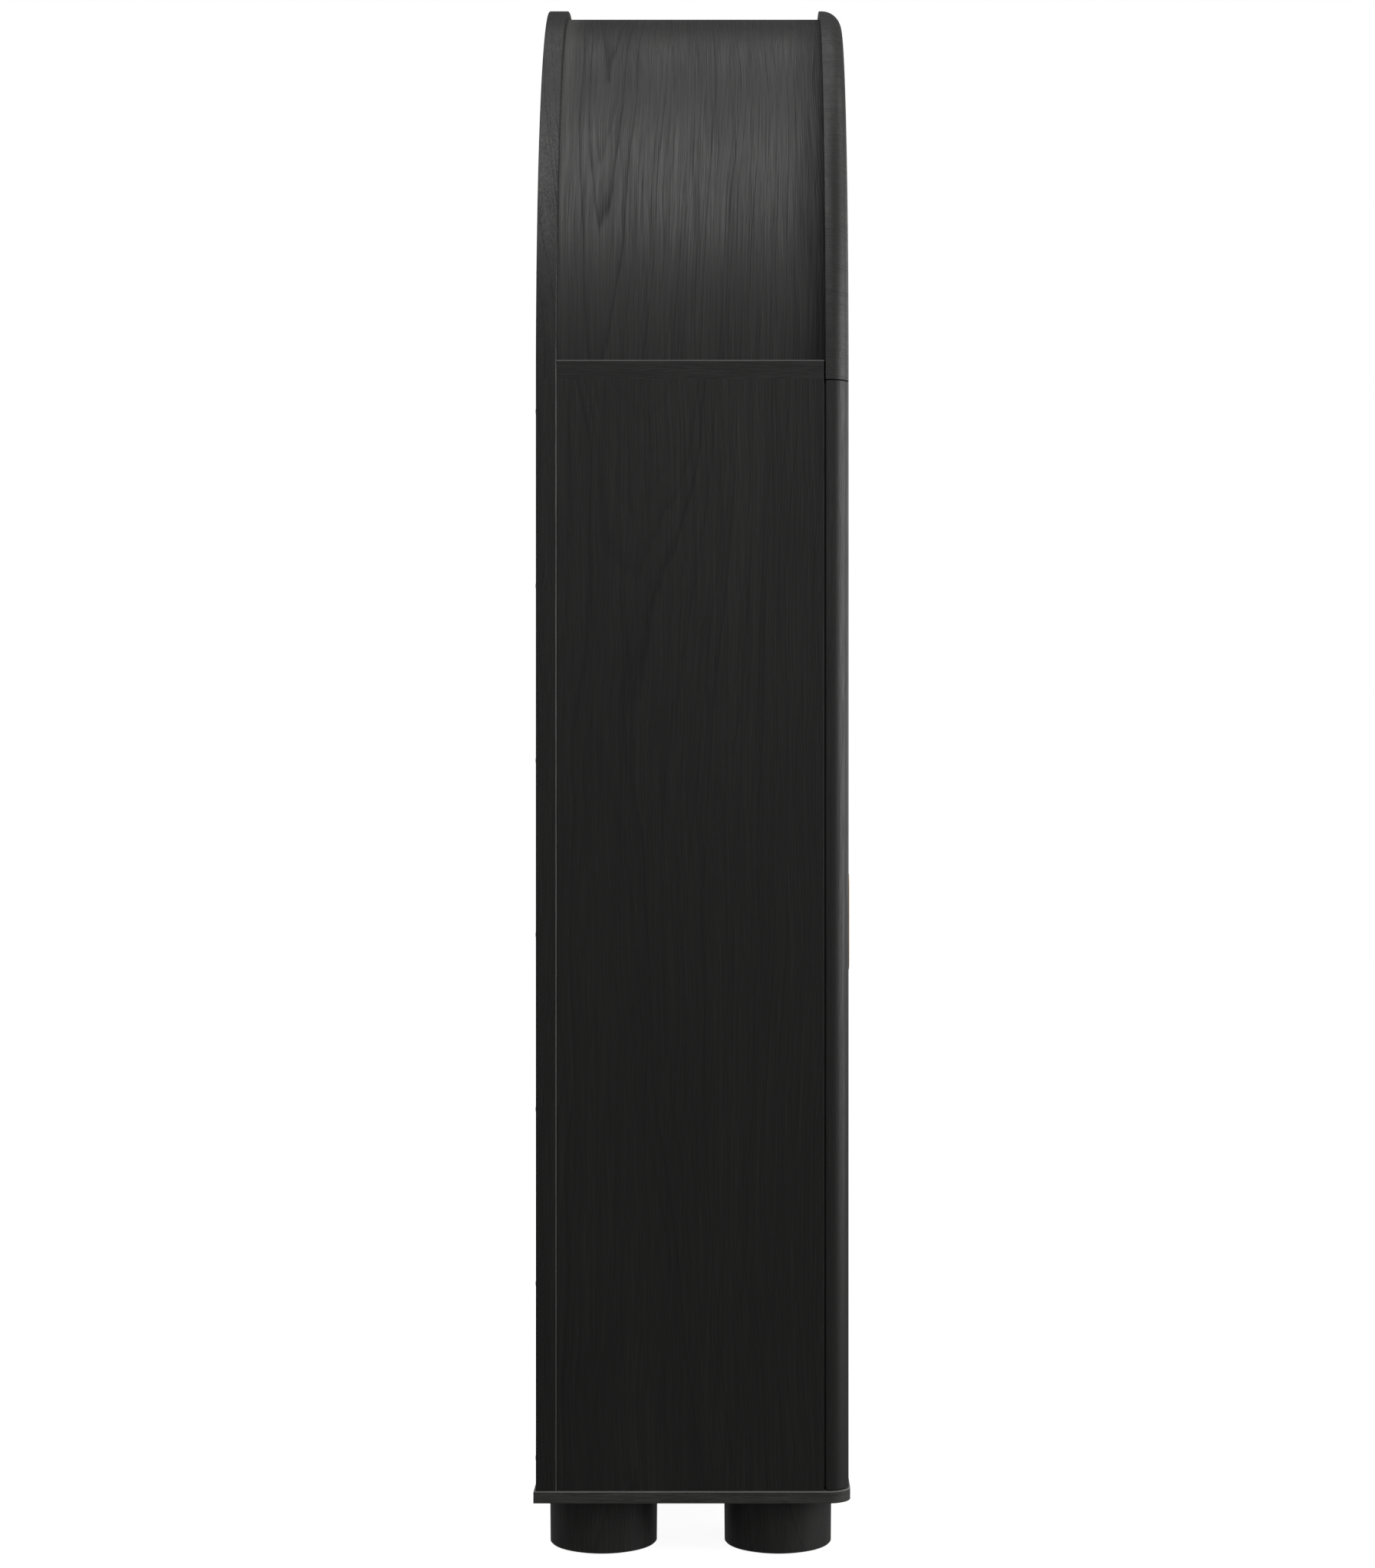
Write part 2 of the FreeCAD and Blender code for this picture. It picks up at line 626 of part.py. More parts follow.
def make_going_train():
    pivot_front, pivot_back = front_plate_y + 0.3, back_plate_y + plate_thick - 0.3
    meshing = 180 + half_pitch(leaves)
    save("great_wheel", gear(great_teeth, great_module, 0, drum_z, great_wheel_y, 0,
                             drum_arbor_radius + running_gap, 6))

    pinion = gear(leaves, great_module, 0, dial_z, great_pinion_y, meshing)
    wheel = gear(centre_teeth, train_module, 0, dial_z, centre_wheel_y, 0, 0, 6)
    shaft = rod_y(0, dial_z, arbor_radius, minute_hand_y - hand_nut_thick + 0.2, back_plate_y - 0.5)
    shaft = shaft.fuse(rod_y(0, dial_z, pivot_radius, back_plate_y - 1, pivot_back))
    save("centre_wheel", shaft.fuse([pinion, wheel]))

    pinion = gear(leaves, train_module, 0, third_z, centre_pinion_y, meshing)
    wheel = gear(third_teeth, train_module, 0, third_z, third_wheel_y, 0, 0, 6)
    save("third_wheel", arbor(third_z, pivot_front, pivot_back).fuse([pinion, wheel]))

    pinion = gear(leaves, train_module, 0, escape_z, third_pinion_y, meshing)
    wheel = prism_y(escape_toothing(), *escape_wheel_y)
    for window in range(5):
        wx, wz = at_angle(escape_radius * 0.5, window * 72, 0, escape_z)
        wheel = wheel.cut(rod_y(wx, wz, escape_radius * 0.22, escape_wheel_y[0] - 1,
                                escape_wheel_y[1] + 1))
    save("escape_wheel", arbor(escape_z, pivot_front, pivot_back).fuse([pinion, wheel]))


def make_motion_work():
    pinion = gear(cannon_teeth, cannon_module, 0, dial_z, cannon_pinion_y, 90)
    tube = rod_y(0, dial_z, cannon_outer, minute_hand_y, cannon_pinion_y[1] + 1)
    bore = rod_y(0, dial_z, arbor_radius + running_gap, minute_hand_y - 1, front_plate_y)
    save("cannon_pinion", tube.fuse(pinion).cut(bore))

    wheel = gear(motion_teeth, cannon_module, motion_x, dial_z, motion_wheel_y,
                 270 + half_pitch(motion_teeth))
    pinion = gear(motion_leaves, hour_module, motion_x, dial_z, motion_pinion_y, 270)
    bore = rod_y(motion_x, dial_z, arbor_radius + running_gap, motion_pinion_y[0] - 1,
                 motion_wheel_y[1] + 1)
    save("motion_wheel", wheel.fuse(pinion).cut(bore))

    wheel = gear(hour_teeth, hour_module, 0, dial_z, hour_wheel_y, 90 + half_pitch(hour_teeth))
    pipe = rod_y(0, dial_z, pipe_outer, hour_hand_y, hour_wheel_y[1])
    bore = rod_y(0, dial_z, cannon_outer + running_gap, hour_hand_y - 1, hour_wheel_y[1] + 1)
    save("hour_wheel", wheel.fuse(pipe).cut(bore))


def make_anchor():
    """Pallets over the escape wheel, their arbor, and the crutch that meets the pendulum."""
    tip_x = (escape_radius + 2.0) * math.sin(math.radians(45))
    tip_z = escape_z + (escape_radius + 2.0) * math.cos(math.radians(45))
    outline = [(0, pallet_z + 5), (5, pallet_z + 3), (tip_x + 4, tip_z + 6), (tip_x + 4, tip_z),
               (tip_x, tip_z), (tip_x - 1, tip_z + 5), (4, pallet_z - 3)]
    mirrored = [(-x, z) for x, z in reversed(outline) if x > 0]
    pallets = prism_y(outline + mirrored, *anchor_y)
    shaft = rod_y(0, pallet_z, arbor_radius, train_front_y + 0.5, back_plate_y + 7)
    shaft = shaft.fuse(rod_y(0, pallet_z, pivot_radius, front_plate_y + 0.3, train_front_y + 1))
    strip_y = back_plate_y + 5
    stem = box(-2.5, 2.5, strip_y, strip_y + 2, fork_z, pallet_z)
    prong_x = rod_radius + part_gap
    bridge = box(-prong_x - 3, prong_x + 3, strip_y, strip_y + 2, fork_z - 3, fork_z + 3)
    prongs = [box(min(s * prong_x, s * (prong_x + 3)), max(s * prong_x, s * (prong_x + 3)),
                  strip_y, pendulum_y + 5, fork_z - 3, fork_z + 3) for s in (-1, 1)]
    save("anchor", pallets.fuse([shaft, stem, bridge] + prongs))


# ---------------------------------------------------------------- movement frame

def make_plates():
    pillar_places = [(side * pillar_x, z) for side in (-1, 1)
                     for z in (seat_top_z + pillar_inset, plate_top_z - pillar_inset)]
    for name, y in (("front", front_plate_y), ("back", back_plate_y)):
        plate = box(-plate_half_x, plate_half_x, y, y + plate_thick, seat_top_z, plate_top_z)
        corners = edges_near(plate, lambda p: close(p.z, plate_top_z)
                             and close(abs(p.x), plate_half_x))
        plate = plate.makeFillet(plate_corner, corners)
        front = name == "front"
        holes = [(0, drum_z, drum_arbor_radius), (0, dial_z, arbor_radius if front else pivot_radius),
                 (0, third_z, pivot_radius), (0, escape_z, pivot_radius),
                 (0, pallet_z, pivot_radius if front else arbor_radius)]
        for x, z, radius in holes:
            plate = plate.cut(rod_y(x, z, radius + running_gap, y - 1, y + plate_thick + 1))
        if front:
            plate = plate.fuse(rod_y(motion_x, dial_z, arbor_radius, motion_pinion_y[0] - 2, y + 1))
        save(f"movement_{name}_plate", plate)
    save("movement_pillars", *[rod_y(x, z, pillar_radius, train_front_y, back_plate_y)
                               for x, z in pillar_places])


def make_seat():
    seat = box(-seat_half_x, seat_half_x, seat_front_y, seat_rear_y, seat_bottom_z, seat_top_z)
    for side in (-1, 1):
        seat = seat.cut(rod_z(side * cable_x, cable_y, cable_hole_radius,
                              seat_bottom_z - 1, seat_top_z + 1))
    rod_slot = box(-seat_notch_half_x, seat_notch_half_x, pendulum_y - 12, seat_rear_y + 1,
                   seat_bottom_z - 1, seat_top_z + 1)
    save("seatboard", seat.cut(rod_slot))
    cheeks = [box(min(s * (seat_half_x - seat_thick), s * seat_half_x),
                  max(s * (seat_half_x - seat_thick), s * seat_half_x),
                  seat_front_y, seat_rear_y, base_board_top_z, seat_bottom_z) for s in (-1, 1)]
    save("seatboard_cheeks", *cheeks)


def make_suspension():
    back_face = back_plate_y + plate_thick
    top = box(-9, 9, back_face, pendulum_y + 9, pallet_z + 6, pallet_z + 16)
    jaws = [box(min(s * 1.3, s * 7), max(s * 1.3, s * 7), pendulum_y - 7, pendulum_y + 7,
                pallet_z - 2, pallet_z + 7) for s in (-1, 1)]
    save("suspension_cock", top.fuse(jaws))
    save("suspension_spring", box(-0.2, 0.2, pendulum_y - 6, pendulum_y + 6,
                                  pallet_z - 26, pallet_z + 5.5))


# ---------------------------------------------------------------- pendulum

def make_pendulum():
    rod_low, rod_high = bob_z - bob_radius - 26, pallet_z - 34
    rod = rod_z(0, pendulum_y, rod_radius, rod_low, rod_high)
    head = box(-rod_head_half, rod_head_half, pendulum_y - rod_head_half,
               pendulum_y + rod_head_half, pallet_z - 40, pallet_z - 26)
    save("pendulum_rod", rod.fuse(head))

    half = bob_thick / 2
    front = FreeCAD.Vector(0, pendulum_y - half, bob_z)
    back = FreeCAD.Vector(0, pendulum_y + half, bob_z)
    rim_front = FreeCAD.Vector(bob_radius, pendulum_y - bob_rim_half, bob_z)
    rim_back = FreeCAD.Vector(bob_radius, pendulum_y + bob_rim_half, bob_z)
    crown_x, crown = bob_radius * 0.55, half * 0.78
    profile = Part.Wire([
        Part.Arc(front, FreeCAD.Vector(crown_x, pendulum_y - crown, bob_z), rim_front).toShape(),
        Part.makeLine(rim_front, rim_back),
        Part.Arc(rim_back, FreeCAD.Vector(crown_x, pendulum_y + crown, bob_z), back).toShape(),
        Part.makeLine(back, front)])
    lens = Part.Face(profile).revolve(FreeCAD.Vector(0, 0, bob_z), BACK, 360)
    hole = rod_z(0, pendulum_y, rod_radius, bob_z - bob_radius - 1, bob_z + bob_radius + 1)
    save("pendulum_bob", lens.cut(hole))

    nut_top = bob_z - bob_radius - part_gap
    nut_bottom = nut_top - rating_nut_height
    nut = rod_z(0, pendulum_y, rating_nut_radius, nut_bottom, nut_top)
    nut = broken(nut, lambda p: close(p.z, nut_bottom), 1.0)
    bore = rod_z(0, pendulum_y, rod_radius + running_gap, nut_bottom - 1, nut_top + 1)
    save("rating_nut", nut.cut(bore))


# ---------------------------------------------------------------- weight

def make_drum():
    shoulder_y = train_front_y - 23.0
    shaft = rod_y(0, drum_z, drum_arbor_radius, shoulder_y, back_plate_y + plate_thick - 0.3)
    square = box(-square_half, square_half, door_back_y, shoulder_y + 1,
                 drum_z - square_half, drum_z + square_half)
    front, back = drum_y
    drum = turned_y(0, drum_z, [(0, front - drum_flange_thick),
                                (drum_flange_radius, front - drum_flange_thick),
                                (drum_flange_radius, front), (drum_radius, front),
                                (drum_radius, back), (drum_flange_radius, back),
                                (drum_flange_radius, back + drum_flange_thick),
                                (0, back + drum_flange_thick)])
    save("winding_drum", shaft.fuse([square, drum]))


def make_pulley():
    groove = cable_x - cable_radius
    bore, rim = arbor_radius + running_gap, groove + pulley_rim
    front, back = cable_y - pulley_half, cable_y + pulley_half
    pulley = turned_y(0, pulley_z, [(bore, front), (rim, front), (groove, cable_y - 1.2),
                                    (groove, cable_y + 1.2), (rim, back), (bore, back)])
    for window in range(5):
        wx, wz = at_angle(groove * 0.583, window * 72, 0, pulley_z)
        pulley = pulley.cut(rod_y(wx, wz, groove * 0.2, front - 1, back + 1))
    save("weight_pulley", pulley)


def make_stirrup():
    """Two straps that hold the pulley's axle, a bridge under them, and the weight's stem."""
    strap_half_x, strap_thick = 5.0, 2.0
    inner = pulley_half + 0.4
    outer = inner + strap_thick
    bridge_top_z = pulley_z - 30.0
    straps = [box(-strap_half_x, strap_half_x,
                  min(cable_y + side * inner, cable_y + side * outer),
                  max(cable_y + side * inner, cable_y + side * outer),
                  bridge_top_z - 2, pulley_z + 6) for side in (-1, 1)]
    bridge = box(-strap_half_x, strap_half_x, cable_y - outer, cable_y + outer,
                 bridge_top_z - 4, bridge_top_z)
    axle = rod_y(0, pulley_z, arbor_radius, cable_y - outer - 1.1, cable_y + outer + 1.1)
    stem = rod_z(0, cable_y, 3.0, weight_top_z, bridge_top_z - 3)
    save("weight_stirrup", bridge.fuse(straps + [axle, stem]))


def make_weight():
    bottom_z = weight_top_z - weight_length
    tube = rod_z(0, cable_y, weight_radius, bottom_z + cap_thick, weight_top_z - cap_thick)
    caps = [rod_z(0, cable_y, weight_radius + cap_proud, z, z + cap_thick)
            for z in (bottom_z, weight_top_z - cap_thick)]
    caps = [cap.makeFillet(cap_proud, cap.Edges[:1] + cap.Edges[2:]) for cap in caps]
    save("weight_shell", tube.fuse(caps))


def make_cable():
    """The two runs down to the pulley, and the half turn under it."""
    runs = [rod_z(side * cable_x, cable_y, cable_radius, pulley_z, seat_bottom_z)
            for side in (-1, 1)]
    ring = Part.makeTorus(cable_x, cable_radius, FreeCAD.Vector(0, cable_y, pulley_z), BACK)
    reach = cable_x + 10
    lower = ring.common(box(-reach, reach, cable_y - 9, cable_y + 9, pulley_z - reach, pulley_z))
    save("weight_cable", runs[0].fuse([runs[1], lower]))


os.makedirs("parts", exist_ok=True)
make_feet()
make_plinth()
make_trunk()
make_wall_bracket()
make_hood()
make_door_hinges()
make_door()
make_door_catch()
make_dial()
make_bezel()
make_hands()
make_going_train()
make_motion_work()
make_anchor()
make_plates()
make_seat()
make_suspension()
make_pendulum()
make_drum()
make_pulley()
make_stirrup()
make_weight()
make_cable()
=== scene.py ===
import math

import bmesh
import bpy
from mathutils import Matrix, Vector


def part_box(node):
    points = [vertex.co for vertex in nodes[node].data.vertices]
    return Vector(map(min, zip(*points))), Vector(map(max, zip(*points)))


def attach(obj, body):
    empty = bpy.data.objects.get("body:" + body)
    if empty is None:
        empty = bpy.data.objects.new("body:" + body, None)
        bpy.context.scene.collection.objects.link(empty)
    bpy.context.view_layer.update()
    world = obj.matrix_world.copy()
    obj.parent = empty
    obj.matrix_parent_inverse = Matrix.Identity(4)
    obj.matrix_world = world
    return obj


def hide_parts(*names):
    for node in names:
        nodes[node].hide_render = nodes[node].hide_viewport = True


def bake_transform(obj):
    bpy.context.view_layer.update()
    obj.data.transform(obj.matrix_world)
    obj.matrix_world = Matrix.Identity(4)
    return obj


# Looks of the grandfather clock: black stained wood, brass, steel and glass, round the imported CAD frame.
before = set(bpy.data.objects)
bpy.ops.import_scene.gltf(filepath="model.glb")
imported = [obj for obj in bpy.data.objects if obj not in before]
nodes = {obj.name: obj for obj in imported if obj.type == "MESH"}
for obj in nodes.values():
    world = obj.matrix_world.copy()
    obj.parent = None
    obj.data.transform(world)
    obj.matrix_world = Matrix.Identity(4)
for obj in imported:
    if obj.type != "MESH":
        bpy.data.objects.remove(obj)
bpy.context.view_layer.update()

MM = 0.001

# Sizes of the CAD frame that its boxes don't show
DOOR_HINGE_PITCH = 0.525
CABLE_RADIUS = 0.0007
ROD_RADIUS = 0.005
PILLAR_RADIUS = 0.004
PLATE_THICK = 0.003
AXES = {"X": 0, "Y": 1, "Z": 2}


# ---------------------------------------------------------------- node helpers

class Nodes:
    """A node tree and a few short ways to add to it."""

    def __init__(self, tree):
        self.tree = tree

    def add(self, kind, **settings):
        node = self.tree.nodes.new(kind)
        for key, value in settings.items():
            setattr(node, key, value)
        return node

    def feed(self, socket, value):
        """Links a socket to another, or sets it to a number, vector or colour."""
        if isinstance(value, bpy.types.NodeSocket):
            self.tree.links.new(value, socket)
        else:
            socket.default_value = value

    def maths(self, operation, *values):
        node = self.add("ShaderNodeMath", operation=operation)
        for socket, value in zip(node.inputs, values):
            self.feed(socket, value)
        return node.outputs[0]

    def split(self, vector):
        node = self.add("ShaderNodeSeparateXYZ")
        self.feed(node.inputs[0], vector)
        return node.outputs

    def join(self, x, y, z):
        node = self.add("ShaderNodeCombineXYZ")
        for socket, value in zip(node.inputs, (x, y, z)):
            self.feed(socket, value)
        return node.outputs[0]

    def noise(self, vector, scale, detail=3.0, rough=0.55, bend=0.0):
        node = self.add("ShaderNodeTexNoise")
        self.feed(node.inputs["Vector"], vector)
        for key, value in (("Scale", scale), ("Detail", detail), ("Roughness", rough),
                           ("Distortion", bend)):
            node.inputs[key].default_value = value
        return node.outputs["Fac"]

    def ramp(self, value, *stops):
        """Maps a value through a linear ramp. Each stop is (position, grey or colour)."""
        node = self.add("ShaderNodeValToRGB")
        self.feed(node.inputs[0], value)
        elements = node.color_ramp.elements
        while len(elements) < len(stops):
            elements.new(0.5)
        for element, (position, shade) in zip(elements, stops):
            element.position = position
            element.color = (*shade, 1) if isinstance(shade, tuple) else (shade, shade, shade, 1)
        return node.outputs[0]

    def span(self, value, low, high):
        """Maps 0-1 to low-high."""
        return self.maths("MULTIPLY_ADD", value, high - low, low)

    def mix(self, share, a, b):
        node = self.add("ShaderNodeMix", data_type="RGBA")
        self.feed(node.inputs["Factor"], share)
        self.feed(node.inputs["A"], a)
        self.feed(node.inputs["B"], b)
        return node.outputs["Result"]


class Shader(Nodes):
    """A material, made through its one Principled shader."""

    def __init__(self, name):
        self.material = bpy.data.materials.new(name)
        self.material.use_nodes = True
        super().__init__(self.material.node_tree)
        self.surface = self.tree.nodes["Principled BSDF"]
        self.place = self.add("ShaderNodeTexCoord").outputs["Object"]

    def bump(self, height, distance, strength=1.0):
        node = self.add("ShaderNodeBump")
        node.inputs["Distance"].default_value = distance
        node.inputs["Strength"].default_value = strength
        self.feed(node.inputs["Height"], height)
        self.feed(self.surface.inputs["Normal"], node.outputs[0])

    def put(self, **values):
        """Sets the shader's own sockets by name, with _ for a space."""
        for key, value in values.items():
            self.feed(self.surface.inputs[key.replace("_", " ")], value)


# ---------------------------------------------------------------- wood

WOOD_DARK = (0.0075, 0.0075, 0.0073)
WOOD_MID = (0.0160, 0.0160, 0.0154)
WOOD_PALE = (0.0300, 0.0300, 0.0285)
WOOD_PORE = (0.0040, 0.0040, 0.0040)
# painted highlight colour for edges that should catch the light
WOOD_EDGE_HIGHLIGHT = (0.15, 0.15, 0.145)
# painted light colour for the band beside the vault's back arch
WOOD_PAINTED_LIGHT = (0.075, 0.075, 0.072)
RING_WIDTH = 0.0036
SOFT_STEP = 0.0003          # width over which a painted edge highlight fades


def grain_coordinates(shader, along, across):
    """(across, depth, along) of a point in a flat board, in metres."""
    xyz = shader.split(shader.place)
    depth = ({"X", "Y", "Z"} - {along, across}).pop()
    return xyz[AXES[across]], xyz[AXES[depth]], xyz[AXES[along]]


def growth_rings(s, across, depth, along, pith):
    """Rings about a pith that wanders along the board, each ring as dark as chance makes it."""
    slow = s.join(across, depth, s.maths("MULTIPLY", along, 0.30))
    fine = s.join(across, depth, s.maths("MULTIPLY", along, 0.10))
    lean = s.span(s.noise(slow, 4.2, 2.0), -0.050, 0.050)
    wander = s.span(s.noise(slow, 2.0, 1.0), -0.130, 0.130)
    u = s.maths("ADD", s.maths("SUBTRACT", across, pith[0]), lean)
    h = s.maths("ADD", s.maths("SUBTRACT", depth, pith[1]), wander)
    radius = s.maths("SQRT", s.maths("ADD", s.maths("MULTIPLY", u, u), s.maths("MULTIPLY", h, h)))
    radius = s.maths("ADD", radius, s.span(s.noise(fine, 60.0, 3.0, 0.6), -0.0022, 0.0022))
    count = s.maths("DIVIDE", radius, RING_WIDTH)
    part = s.maths("FRACT", count)
    year = s.add("ShaderNodeTexWhiteNoise", noise_dimensions="1D")
    s.feed(year.inputs["W"], s.maths("FLOOR", count))
    line = s.ramp(part, (0.0, 0.0), (0.55, 0.25), (0.85, 1.0), (1.0, 0.0))
    return s.maths("MULTIPLY", line, year.outputs["Value"])


def clamped_line(s, value, slope, offset):
    """slope * value + offset, kept between 0 and 1."""
    node = s.add("ShaderNodeMath", operation="MULTIPLY_ADD", use_clamp=True)
    s.feed(node.inputs[0], value)
    node.inputs[1].default_value, node.inputs[2].default_value = slope, offset
    return node.outputs[0]


def painted_edge_highlight(s, colour, *limits):
    """Paints a highlight as paler wood where every limit holds, along an edge meant to catch the light.

    A limit is (axis, value, side): side 1 is past the value, and -1 short of it. X counts both ways.
    """
    xyz = s.split(s.place)
    mask = 1.0
    for axis, limit, side in limits:
        value = xyz[AXES[axis]]
        if axis == "X":
            value = s.maths("ABSOLUTE", value)
        past = clamped_line(s, value, side / SOFT_STEP, -side * limit / SOFT_STEP)
        mask = s.maths("MULTIPLY", mask, past)
    # painted highlight: the edge is mixed towards pale wood
    return s.mix(s.maths("MULTIPLY", mask, 0.75), colour, (*WOOD_EDGE_HIGHLIGHT, 1))


def corner_shade_and_light(s, matt, colour, corner):
    """Paints shade or light into the vault near an arch, and adds roughness there: painted shade beside the
    front arch, painted light beside the back arch.

    A corner is (y, reach, share at the springing, share at the crown, added roughness, painted colour).
    """
    y, reach, low, high, added, shade = corner
    spring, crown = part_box("hood_front_arch")[0].z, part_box("hood_barrel")[1].z
    place = s.split(s.place)
    distance = s.maths("ABSOLUTE", s.maths("SUBTRACT", place[1], y))
    near = s.maths("POWER", clamped_line(s, distance, -1 / reach, 1.0), 1.5)
    height = clamped_line(s, place[2], 1 / (crown - spring), -spring / (crown - spring))
    share = s.maths("MULTIPLY", near, s.span(height, low, high))
    return s.maths("MULTIPLY_ADD", share, added, matt), s.mix(share, colour, (*shade, 1))


def black_wood(name, coordinates, seed, pith=(0.0, 0.06), contrast=1.0, paleness=1.0, edge_highlights=(),
               corners=()):
    """Black stained, open-grained veneer: growth rings about an off-centre pith, streaks and pores, with
    painted edge highlights and painted shade or light near the vault's arches where given.
    """
    s = Shader(name)
    across, depth, along = coordinates(s)
    along = s.maths("ADD", along, 3.7 * seed)
    rings = growth_rings(s, across, depth, along, pith)
    drift = s.span(s.noise(s.join(across, depth, s.maths("MULTIPLY", along, 0.5)), 7.0, 2.0), -0.012, 0.012)
    leaning = s.maths("ADD", across, drift)
    streaks = s.noise(s.join(leaning, depth, s.maths("MULTIPLY", along, 0.010)), 850.0, 3.0, 0.7)
    broad = s.noise(s.join(leaning, depth, s.maths("MULTIPLY", along, 0.025)), 110.0, 3.0, 0.7)
    flames = s.noise(s.join(leaning, depth, s.maths("MULTIPLY", along, 0.12)), 14.0, 3.0, 0.6)
    pores = s.noise(s.join(leaning, depth, s.maths("MULTIPLY", along, 0.030)), 900.0, 2.0, 0.6)
    pores = s.ramp(pores, (0.53, 0.0), (0.64, 1.0))
    pores = s.maths("MULTIPLY", pores, s.span(rings, 0.35, 1.0))
    tone = s.maths("ADD", s.span(streaks, -0.70, 0.70), s.span(broad, -0.24, 0.24))
    tone = s.maths("ADD", tone, s.span(flames, -0.22, 0.22))
    tone = s.maths("SUBTRACT", tone, s.span(rings, -0.05, 0.28))
    tone = s.maths("MULTIPLY_ADD", tone, contrast, 0.5)
    dark, mid, pale = (tuple(paleness * c for c in shade) for shade in (WOOD_DARK, WOOD_MID, WOOD_PALE))
    colour = s.ramp(tone, (0.12, dark), (0.5, mid), (0.88, pale))
    colour = s.mix(s.maths("MULTIPLY", pores, 0.6), colour, (*WOOD_PORE, 1))
    # painted highlights along the given edges
    for limits in edge_highlights:
        colour = painted_edge_highlight(s, colour, *limits)
    matt = s.maths("ADD", s.span(tone, 0.62, 0.24), s.maths("MULTIPLY", pores, 0.06))
    # painted shade beside the vault's front arch and painted light beside its back arch
    for corner in corners:
        matt, colour = corner_shade_and_light(s, matt, colour, corner)
    s.put(Base_Color=colour, Roughness=matt, Specular_IOR_Level=0.40, IOR=1.5)
    relief = s.maths("SUBTRACT", s.maths("MULTIPLY", streaks, 1.2), pores)
    relief = s.maths("SUBTRACT", relief, s.maths("MULTIPLY", rings, 0.3))
    s.bump(relief, 0.00009, 0.5)
    return s.material


def flat_board(along, across):
    return lambda s: grain_coordinates(s, along, across)


def edge_band(s):
    """Coordinates that run round a board's edge, for its edge banding. Depth hardly changes along it."""
    x, y, z = s.split(s.place)
    return z, s.maths("MULTIPLY", s.maths("SUBTRACT", x, y), 0.04), s.maths("ADD", x, y)


def round_the_vault(s):
    """Coordinates that run round the hood's vault: along the arc, with the case's depth across."""
    x, y, z = s.split(s.place)
    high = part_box("hood_barrel")[1]
    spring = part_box("hood_front_arch")[0].z
    rise, half = high.z - spring, high.x
    angle = s.maths("ARCTAN2", s.maths("DIVIDE", s.maths("SUBTRACT", z, spring), rise),
                    s.maths("DIVIDE", x, half))
    return y, 0.0, s.maths("MULTIPLY", angle, (rise + half) / 2)


def wood_settings():
    """Name: coordinates, seed, pith, contrast, paleness, painted edge highlights and painted corner shade
    or light.
    """
    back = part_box("trunk_back_panel")
    base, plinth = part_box("hood_base_board"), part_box("plinth_board")
    # painted shade beside the front arch: darker, rougher wood, strongest at the springing
    front_corner_shade = (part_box("hood_front_arch")[1].y, 0.055, 1.0, 0.6, 0.30, WOOD_PORE)
    # painted light beside the back arch: paler wood, strongest towards the crown
    rear_corner_light = (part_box("hood_back_arch")[0].y, 0.030, 0.1, 0.9, 0.0, WOOD_PAINTED_LIGHT)
    # painted highlights: the back panel's seam, the hood base board's top edge and the plinth's top edge
    rear_seam_highlight = [(("X", back[1].x - 1.3 * MM, 1), ("Y", back[0].y + 0.9 * MM, -1))]
    base_edge_highlight = [(("X", base[1].x - 1.5 * MM, 1), ("Z", base[1].z - 1.4 * MM, 1))]
    plinth_edge_highlight = [(("Z", plinth[1].z - 1.4 * MM, 1),)]
    return {
        "wood_side_left": (flat_board("Z", "Y"), 1, (0.07, -0.22)),
        "wood_side_right": (flat_board("Z", "Y"), 2, (-0.02, 0.30)),
        "wood_back": (flat_board("Z", "X"), 3, (0.05, -0.20), 1.0, 1.0, rear_seam_highlight),
        "wood_stile": (flat_board("Z", "X"), 4, (0.12, -0.40)),
        "wood_rail": (flat_board("X", "Z"), 5, (0.20, -0.40)),
        # the front arch's paleness of 1.35 is painted light: the same black wood made paler to look lit
        "wood_front_arch": (flat_board("X", "Z"), 6, (0.90, -0.25), 1.0, 1.35),
        "wood_back_arch": (flat_board("Z", "X"), 7, (-0.04, -0.15), 1.0, 1.0, rear_seam_highlight),
        "wood_vault": (round_the_vault, 61, (0.10, 0.05), 1.30, 1.0, (), (front_corner_shade, rear_corner_light)),
        "wood_edge": (edge_band, 9, (0.05, 0.06), 1.0, 1.1, base_edge_highlight),
        # the plinth's paleness of 3.3 is painted light: the same black wood made paler to look lit
        "wood_plinth": (edge_band, 12, (-0.45, 0.10), 1.0, 3.3, plinth_edge_highlight),
        "wood_foot": (flat_board("Z", "X"), 10, (0.02, 0.05), 1.0, 1.4),
        "wood_inside": (flat_board("X", "Y"), 11, (0.02, 1.50)),
    }


WOOD_OF = {
    "trunk_side_left": "wood_side_left", "trunk_side_right": "wood_side_right",
    "trunk_back_panel": "wood_back", "trunk_floor_board": "wood_inside",
    "trunk_top_board": "wood_inside", "hood_base_board": "wood_edge", "plinth_board": "wood_plinth",
    "hood_barrel": "wood_vault", "hood_back_arch": "wood_back_arch",
    "hood_front_arch": "wood_front_arch", "seatboard": "wood_inside",
    "seatboard_cheeks": "wood_side_left", "door_stile_left": "wood_stile",
    "door_stile_right": "wood_stile", "door_rail_top": "wood_rail", "door_rail_bottom": "wood_rail",
    "door_glass_beads": "wood_stile", "foot_front_left": "wood_foot", "foot_front_right": "wood_foot",
    "foot_rear_left": "wood_foot", "foot_rear_right": "wood_foot",
}


# ---------------------------------------------------------------- metals, glass and the rest

